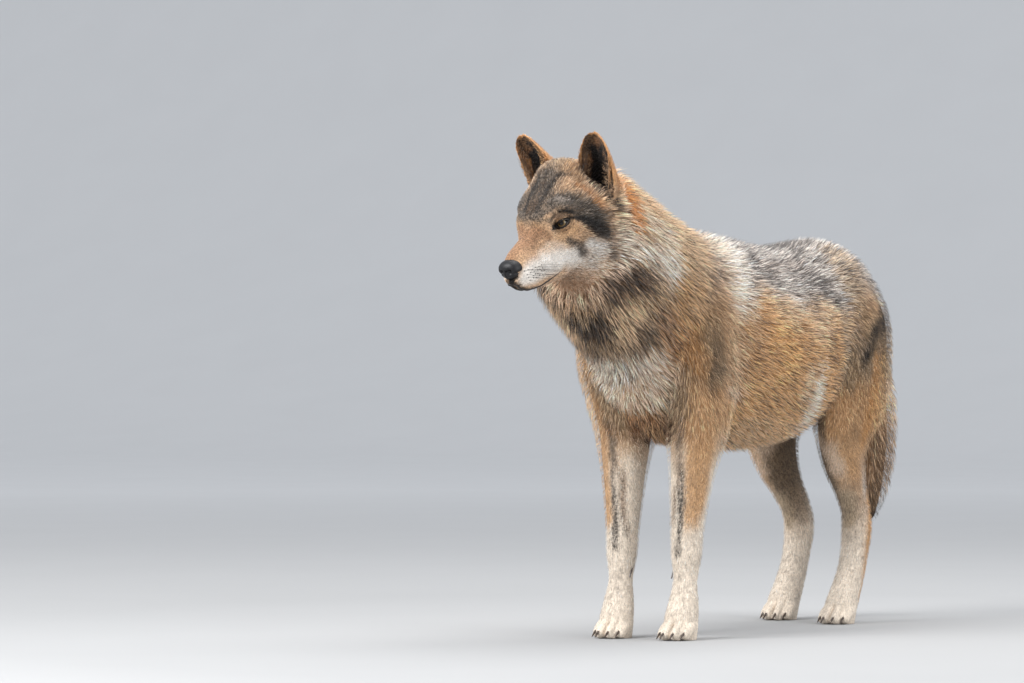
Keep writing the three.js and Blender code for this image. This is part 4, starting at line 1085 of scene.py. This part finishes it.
def grow(name, chosen):
    """One piece of the coat: its tufts, their colours from underfur to guard hair and, on some, a dark tip,
    and each as a small patch of the skin's unwrap."""
    made, faces = tufts(chosen)
    piece = build(name, made.reshape(-1, 3), faces, guard)
    under, over, ticked = bands[chosen, :3], bands[chosen, 3:6], bands[chosen, 6]
    dark = (rng.random(len(chosen)) < ticked * (1 + 1.2 * speck[chosen]))[:, None, None]
    t = BLADE_UP[None, :, None]
    tone = under[:, None] * (1 - smoothly(t, 0, 0.5)) + over[:, None] * smoothly(t, 0, 0.5)
    uneven = rng.normal(0, 1, len(chosen)) * (0.23 + 0.3 * ticked * owned[chosen, 0])
    tone = tone * (1 + lock_tone[chosen] + 0.16 * speck[chosen] + uneven)[:, None, None]
    tone = np.where(dark, tone + (TIP - tone) * 0.8 * smoothly(t, 0.15, 0.5), tone)
    colours(piece.data, tone.reshape(-1, 3))
    corner = np.stack([[1, -1, 0, 1, -1, 0, 0], 2 * BLADE_UP - 1], 1) * PATCH
    uv = (root_uv[chosen, None] + corner[None]).reshape(-1, 2)
    layer = piece.data.uv_layers.new(name="OFBake")
    layer.data.foreach_set("uv", uv[faces.ravel()].astype(np.float32).ravel())


owner = owned.argmax(1)
behind_eyes = to_head(root)[:, 1] >= 175
left, front = root[:, 0] > 0, root[:, 1] < 20
grow("coat_face", np.flatnonzero((owner == 0) & ~behind_eyes))
grow("coat_head", np.flatnonzero((owner == 0) & behind_eyes))
grow("coat_ears", np.flatnonzero(owner == 6))
grow("coat_tail", np.flatnonzero(owner == 3))
for side, here in (("left", left), ("right", ~left)):
    grow(f"coat_neck_{side}", np.flatnonzero((owner == 1) & here))
    grow(f"coat_shoulder_{side}", np.flatnonzero((owner == 2) & here & front))
    grow(f"coat_back_{side}", np.flatnonzero((owner == 2) & here & ~front))
    grow(f"coat_foreleg_{side}", np.flatnonzero((owner == 4) & here))
    grow(f"coat_hindleg_{side}", np.flatnonzero((owner == 5) & here))

# ---------------------------------------------------------------- the eyes
# Glass eyes of 25 mm, set in the carved sockets. Each has a raised clear cornea over an amber iris 15 mm
# wide, and round it the bare black rim of the lids, drawn out to the tear duct in front and a little behind.

PAINTED = math.radians(50)  # how far from the line of sight the painted rings go


def turned(rings, close=False):
    """Points and triangles of a surface through rings of points. Its ends are drawn to their middles, or,
    to close it on itself, its last ring is joined to its first."""
    rows, around = rings.shape[:2]
    i, j = np.meshgrid(np.arange(rows if close else rows - 1), np.arange(around), indexing="ij")
    k, m = (i + 1) % rows, (j + 1) % around
    a, b, c, d = (p.ravel() for p in (i * around + j, i * around + m, k * around + m, k * around + j))
    faces = np.concatenate([np.stack([a, b, c], 1), np.stack([a, c, d], 1)])
    points = rings.reshape(-1, 3)
    if close:
        return points, faces
    j = np.arange(around)
    m, last = (j + 1) % around, (rows - 1) * around
    first_cap = np.stack([j * 0 + len(points), m, j], 1)
    last_cap = np.stack([j * 0 + len(points) + 1, last + j, last + m], 1)
    points = np.concatenate([points, rings[:1].mean(1), rings[-1:].mean(1)])
    return points, np.concatenate([faces, first_cap, last_cap])


# Glass eye: a polished clear front over painted amber rings with fine spokes, and a black pupil.
glass_eye, tree = finish("glass eye")
off_axis = add(tree, "ShaderNodeAttribute", attribute_name="off_axis")
round_axis = add(tree, "ShaderNodeAttribute", attribute_name="spoke")
spokes = add(tree, "ShaderNodeTexNoise", {
    "Vector": round_axis.outputs["Vector"], "Scale": 5.0, "Detail": 4.0})
rings_of = add(tree, "ShaderNodeValToRGB", {"Fac": off_axis.outputs["Fac"]})
for at, colour in (
    (0.30, "060504"), (0.34, "2a1c0e"), (0.48, "5e4828"),  # pupil, and the iris's inner half
    (0.66, "8a7650"), (0.74, "2c2218"), (0.82, "0c0908"),  # its outer half, and the dark ring round it
):
    stop = rings_of.color_ramp.elements.new(at)
    stop.color = (*linear(colour), 1)
rings_of.color_ramp.elements.remove(rings_of.color_ramp.elements[0])
rings_of.color_ramp.elements.remove(rings_of.color_ramp.elements[-1])
fine = add(tree, "ShaderNodeMapRange", {"Value": spokes.outputs["Fac"], **span(0.3, 0.7, 0.6, 1.2)})
painted = add(tree, "ShaderNodeVectorMath", {
    0: rings_of.outputs["Color"], "Scale": fine.outputs["Result"]}, operation="SCALE")
surface(tree, {"Base Color": painted.outputs["Vector"], "Roughness": 0.05, "Specular IOR Level": 0.35})


def two_tone(tree, value, low, high):
    """A colour that runs from one hex shade to another with a value from 0 to 1."""
    ramp = add(tree, "ShaderNodeValToRGB", {"Fac": value})
    for stop, colour in zip(ramp.color_ramp.elements, (low, high)):
        stop.color = (*linear(colour), 1)
    return ramp.outputs["Color"]


# Lid rim: bare black skin, a little moist.
rim_skin, tree = finish("black lid skin")
place = add(tree, "ShaderNodeTexCoord").outputs["Object"]
grain = add(tree, "ShaderNodeTexNoise", {"Vector": place, "Scale": 900.0, "Detail": 2.0})
creases = add(tree, "ShaderNodeBump", {"Height": grain.outputs["Fac"], "Strength": 0.4, "Distance": 0.0006})
surface(tree, {
    "Base Color": two_tone(tree, grain.outputs["Fac"], "0f0c0b", "2a211c"), "Roughness": 0.42,
    "Specular IOR Level": 0.4, "Normal": creases.outputs["Normal"]})

for side, name in ((1, "left"), (-1, "right")):
    middle, gaze, outer, upper = eye_axes(side)
    sight = unit(np.array([side * 0.50, -0.84, 0.24]))
    level = unit(np.cross(sight, [0, 0, 1.0]))
    angle, turn = np.radians(np.linspace(176, 1.5, 90)), np.linspace(0, 2 * np.pi, 64, endpoint=False)
    radius = EYE_RADIUS + 1.0 * np.exp(-((angle / 0.55) ** 2))
    spin = level * np.cos(turn)[:, None] - np.cross(level, sight) * np.sin(turn)[:, None]
    away = sight * np.cos(angle)[:, None, None] + spin * np.sin(angle)[:, None, None]
    points, faces = turned(middle + radius[:, None, None] * away)
    eye = build(f"glass_eye_{name}", from_head(points), faces, glass_eye)
    on_points(eye.data, "off_axis", np.append(np.repeat(angle / PAINTED, 64), [4.0, 0.0]))
    spoke = np.tile(np.stack([np.cos(turn), np.sin(turn), turn * 0], 1), (90, 1))
    on_points(eye.data, "spoke", np.concatenate([spoke, np.zeros((2, 3))]))
    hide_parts(f"eye_{name}")

    t = np.linspace(0, 2 * np.pi, 96, endpoint=False)
    lens_x, lens_y = (np.sign(f) * np.abs(f) ** (2 / ALMOND) for f in (np.cos(t), np.sin(t)))
    duct, tail = np.maximum(-lens_x, 0) ** 3, np.maximum(lens_x, 0) ** 7
    steps = []
    for grown, proud in ((0.82, -3.5), (0.86, 0.2), (1.0, 1.2), (1.25, 1.1), (1.48, 0.2), (1.46, -3.0)):
        drawn = max(grown - 1.0, 0) / 0.48
        right = lens_x * (EYE_RADIUS * grown) - duct * 15.0 * drawn + tail * 13.0 * drawn
        over = lens_y * np.where(lens_y > 0, UPPER, LOWER) * grown - duct * 7.0 * drawn + tail * 2.5 * drawn
        ahead = lid(np.hypot(right, over)) + proud
        steps.append(middle + outer * right[:, None] + upper * over[:, None] + gaze * ahead[:, None])
    loop = np.stack(steps, 1)
    points, faces = turned(loop if side < 0 else loop[:, ::-1], close=True)
    rim = build(f"lid_rim_{name}", from_head(points), faces, rim_skin)

# ---------------------------------------------------------------- the nose
# The nose pad, moulded in resin from a cast: a rounded block of pebbled black skin with two comma-shaped
# nostrils and a groove down its middle.

a = np.linspace(0, 2 * np.pi, 128, endpoint=False)[None]
s = np.linspace(0, 1, 64)[:, None]
pad_y = 28 - 35 * s
full = np.maximum(1 - s**4.5, 0) ** 0.5 * (0.82 + 0.18 * smoothly(s, 0, 0.4))
narrow = 1 - 0.30 * np.maximum(-np.sin(a), 0) ** 2
pad_x = 24.0 * full * narrow * np.sign(np.cos(a)) * np.abs(np.cos(a)) ** 0.9
pad_z = np.where(np.sin(a) > 0, 18.0, 21.0) * full * np.sign(np.sin(a)) * np.abs(np.sin(a)) ** 0.95
pad_z = pad_z - 6 + 2.5 * s
pad = np.stack(np.broadcast_arrays(pad_x, pad_y, pad_z), -1)
side_of = np.abs(pad[..., 0])
hole = np.exp(-(((side_of - 9.5) / 4.2) ** 2) - ((pad[..., 2] + 6) / 4.4) ** 2)
hole *= smoothly(-pad[..., 1], -8, 0)
slit = np.exp(-(((pad[..., 1] - 5) / 8.0) ** 2) - ((pad[..., 2] + 10) / 2.4) ** 2)
slit *= smoothly(side_of, 11, 16)
groove = np.exp(-((side_of / 1.3) ** 2)) * smoothly(-pad[..., 2], 0, 6) * smoothly(-pad[..., 1], -6, 0)
pad[..., 1] += 8.0 * hole + 2.0 * groove
pad[..., 0] -= np.sign(pad[..., 0]) * 4.0 * slit

# Nose skin: slate black, finely pebbled, with a soft damp shine.
nose_skin, tree = finish("pebbled nose skin")
place = add(tree, "ShaderNodeTexCoord").outputs["Object"]
pebbles = add(tree, "ShaderNodeTexVoronoi", {"Vector": place, "Scale": 620.0})
relief = add(tree, "ShaderNodeBump", {
    "Height": pebbles.outputs["Distance"], "Strength": 0.5, "Distance": 0.0005}, invert=True)
surface(tree, {
    "Base Color": two_tone(tree, pebbles.outputs["Distance"], "151418", "0b0a0c"), "Roughness": 0.45,
    "Specular IOR Level": 0.4, "Normal": relief.outputs["Normal"]})
points, faces = turned(pad[:, ::-1])
nose = build("nose_pad", from_head(points), faces, nose_skin)
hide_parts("nose")

# ---------------------------------------------------------------- lips and whiskers
# The edge of the lips is a roll of the same bare black skin, modelled in wax along the mouth. The whiskers
# are stiff black hairs, set one by one in four rows on each side, with a small dark swelling at each root.


def cheek_at(y, z):
    """How far out the skin of the face is at each height and distance back: the mean of the points near."""
    near = (face[:, 0] > 0) & (face[:, 1] < 135) & (share[:, 0] > 0.4)
    gap = ((face[near, 1] - y[:, None]) ** 2 + (face[near, 2] - z[:, None]) ** 2) / 5
    weight = np.exp(-gap) + 1e-12 * np.exp(-gap / 40)
    return (weight * face[near, 0]).sum(1) / weight.sum(1)


t = np.linspace(0, 1, 60)
lip_y = 1 + 113 * t**1.3
lip_z = np.interp(lip_y, MOUTH[:, 0], MOUTH[:, 1])
lip_x = cheek_at(lip_y, lip_z) * smoothly(t, -0.02, 0.12)
left_lip = np.stack([lip_x, lip_y - 2.5 * (1 - smoothly(t, 0, 0.15)), lip_z], 1)
lip_line = np.concatenate([left_lip[::-1], (left_lip * [-1, 1, 1])[1:]])
for _ in range(3):
    lip_line[1:-1] = (lip_line[:-2] + 2 * lip_line[1:-1] + lip_line[2:]) / 4
way_on = unit(np.gradient(lip_line, axis=0))
to_front = [0, 18, 0] * (1 - smoothly(np.abs(lip_line[:, :1]), 5, 25))
out_of = unit(lip_line * [1, 0, 0] - to_front + [0, 0, 1e-6])
out_of = unit(out_of - way_on * (out_of * way_on).sum(1, keepdims=True))
thick = 3.0 * np.sqrt(np.clip(1 - np.linspace(-1, 1, len(lip_line)) ** 6, 0.02, 1))
turn = np.linspace(0, 2 * np.pi, 12, endpoint=False)[None, :, None]
up_of = np.cross(way_on, out_of)[:, None]
loops = lip_line[:, None] + thick[:, None, None] * (
    out_of[:, None] * (0.9 * np.cos(turn)) + up_of * (0.8 * np.sin(turn)))
points, faces = turned(loops)
lips = build("lips", from_head(points), faces, rim_skin)

row, column = (g.ravel() for g in np.meshgrid(np.arange(4), np.arange(6), indexing="ij"))
shake = np.random.default_rng(5).normal(0, 1.1, (2, 24))
spot_y = 20 + 8.5 * column + 3 * row + shake[0]
spot_z = -12 - 6.2 * row - 0.6 * column + shake[1]
spot = np.stack([cheek_at(spot_y, spot_z), spot_y, spot_z], 1)
bulge = unit(spot * [1, 0, 0.3] + [0, -4, 0])


def spun(axis, level, count):
    """Directions round an axis, evenly from a level one: level cos t + (axis x level) sin t."""
    turn = np.linspace(0, 2 * np.pi, count, endpoint=False)[:, None]
    return level * np.cos(turn) + np.cross(axis, level) * np.sin(turn)


def joined(parts):
    """Several surfaces' points and triangles as one."""
    starts = np.cumsum([0, *[len(points) for points, _ in parts]])
    faces = [faces + start for start, (_, faces) in zip(starts, parts)]
    return np.concatenate([points for points, _ in parts]), np.concatenate(faces)


roots, hairs = [], []
for side in (1, -1):
    for at, up, long in zip(spot * [side, 1, 1], bulge * [side, 1, 1], 18 + 9.0 * column):
        spin = spun(up, unit(np.cross(up, [0, 0, 1.0])), 8)
        roots.append(turned(np.stack([
            at + up * proud + spin * r for proud, r in ((-1.5, 0.6), (0.4, 1.0), (1.3, 0.8), (1.7, 0.3))])))
        on = unit(up + [0, 0.9, -0.1])
        bend = unit(np.array([side * 0.3, 1.0, -0.35]))
        spin = spun(on, unit(np.cross(on, bend)), 4)
        hairs.append(turned(np.stack([
            at + long * (u * on + 0.45 * u * u * bend) + spin * 0.26 * (1 - 0.85 * u)
            for u in np.linspace(0, 1, 7)])))

# Whisker: smooth stiff hair, almost black.
whisker_hair, tree = finish("whisker hair")
place = add(tree, "ShaderNodeTexCoord").outputs["Object"]
banding = add(tree, "ShaderNodeTexNoise", {"Vector": place, "Scale": 60.0})
surface(tree, {"Base Color": two_tone(tree, banding.outputs["Fac"], "191412", "3a302a"), "Roughness": 0.35})
for name, parts in (("whisker_roots", roots), ("whiskers", hairs)):
    points, faces = joined(parts)
    piece = build(name, from_head(points), faces, whisker_hair)

# ---------------------------------------------------------------- the claws
# Horn claws, four on each foot and a dewclaw inside each wrist. Each is a solid of its own, pinned in its
# toe, and keeps the shape that it has there.

# Claw horn: dark brown with paler streaks along the claw, worn to a low shine.
horn, tree = finish("claw horn")
place = add(tree, "ShaderNodeTexCoord").outputs["Object"]
along_claw = add(tree, "ShaderNodeMapping", {"Vector": place, "Scale": (900.0, 60.0, 120.0)})
streaks = add(tree, "ShaderNodeTexNoise", {
    "Vector": along_claw.outputs["Vector"], "Scale": 1.0, "Detail": 2.0})
surface(tree, {
    "Base Color": two_tone(tree, streaks.outputs["Fac"], "241c18", "5e5046"), "Roughness": 0.38,
    "Specular IOR Level": 0.5})
for name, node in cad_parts.items():
    if name.endswith(("_claw_inner", "_claw_second", "_claw_third", "_claw_outer", "_dewclaw")):
        node.data.materials.clear()
        node.data.materials.append(horn)

# ---------------------------------------------------------------- floor, light and camera
# A pale paper floor that sweeps up far behind, a large soft light above and ahead of the wolf, and weaker
# ones beside and over it.

turn = np.radians(np.linspace(0, 85, 30))
floor_y = np.concatenate([np.linspace(-10, 11, 10), 11.5 + 6 * np.sin(turn)])
floor_z = np.concatenate([np.zeros(10), 6 - 6 * np.cos(turn)])
floor_points = np.stack(
    [np.tile([-18.0, 18.0], 40), np.repeat(floor_y, 2), np.repeat(floor_z, 2)], -1)
k = np.arange(39)[:, None] * 2
floor_mesh = bpy.data.meshes.new("floor")
floor_mesh.from_pydata(floor_points.tolist(), [], np.concatenate([k, k + 1, k + 3, k + 2], 1).tolist())
floor = bpy.data.objects.new("floor", floor_mesh)
bpy.context.scene.collection.objects.link(floor)
floor_mesh.polygons.foreach_set("use_smooth", np.ones(39, bool))
card, tree = finish("pale paper sweep")
place = add(tree, "ShaderNodeTexCoord").outputs["Object"]
mark = add(tree, "ShaderNodeTexNoise", {"Vector": place, "Scale": 3.0})
grain = add(tree, "ShaderNodeMapRange", {"Value": mark.outputs["Fac"], "To Min": 0.98, "To Max": 1.02})
away = add(tree, "ShaderNodeVectorMath", {0: place}, operation="LENGTH")
# Painted light: the floor's colour runs from 0.37 near the wolf to 0.74 at 9 m out, darker where the lamps
# light it most and lighter where their light falls off.
pale = add(tree, "ShaderNodeMapRange", {"Value": away.outputs["Value"], **span(1.5, 9.0, 0.37, 0.74)})
tone = add(tree, "ShaderNodeMath", {
    0: pale.outputs["Result"], 1: grain.outputs["Result"]}, operation="MULTIPLY")
surface(tree, {"Base Color": tone.outputs["Value"], "Roughness": 0.9})
floor_mesh.materials.append(card)

for name, place, aim, size, power in (
    ("key", (-1.6, -3.8, 3.2), (0, 0, 0.5), 2.6, 275),
    ("fill", (4.2, -0.8, 1.6), (0, 0, 0.5), 2.4, 80),
    ("top", (0.4, 0.8, 3.6), (0, 0, 0.6), 2.8, 115),
):
    lamp = bpy.data.lights.new(name, "AREA")
    lamp.energy, lamp.size = power, size
    light = bpy.data.objects.new(name, lamp)
    bpy.context.scene.collection.objects.link(light)
    light.location = place
    light.rotation_euler = (Vector(aim) - light.location).to_track_quat("-Z", "Y").to_euler()

world = bpy.data.worlds.new("studio")
bpy.context.scene.world = world
world.use_nodes = True
world.node_tree.nodes["Background"].inputs["Color"].default_value = (0.9, 0.94, 1.0, 1)
world.node_tree.nodes["Background"].inputs["Strength"].default_value = 0.74
bpy.context.scene.view_settings.view_transform = "Standard"

lens = bpy.data.cameras.new("camera")
lens.lens = 184.57
camera = bpy.data.objects.new("camera", lens)
bpy.context.scene.collection.objects.link(camera)
camera.location = (4.7707, -9.0551, 0.5875)
camera.rotation_euler = (math.radians(90 - 0.1255), 0, math.radians(30))
bpy.context.scene.camera = camera
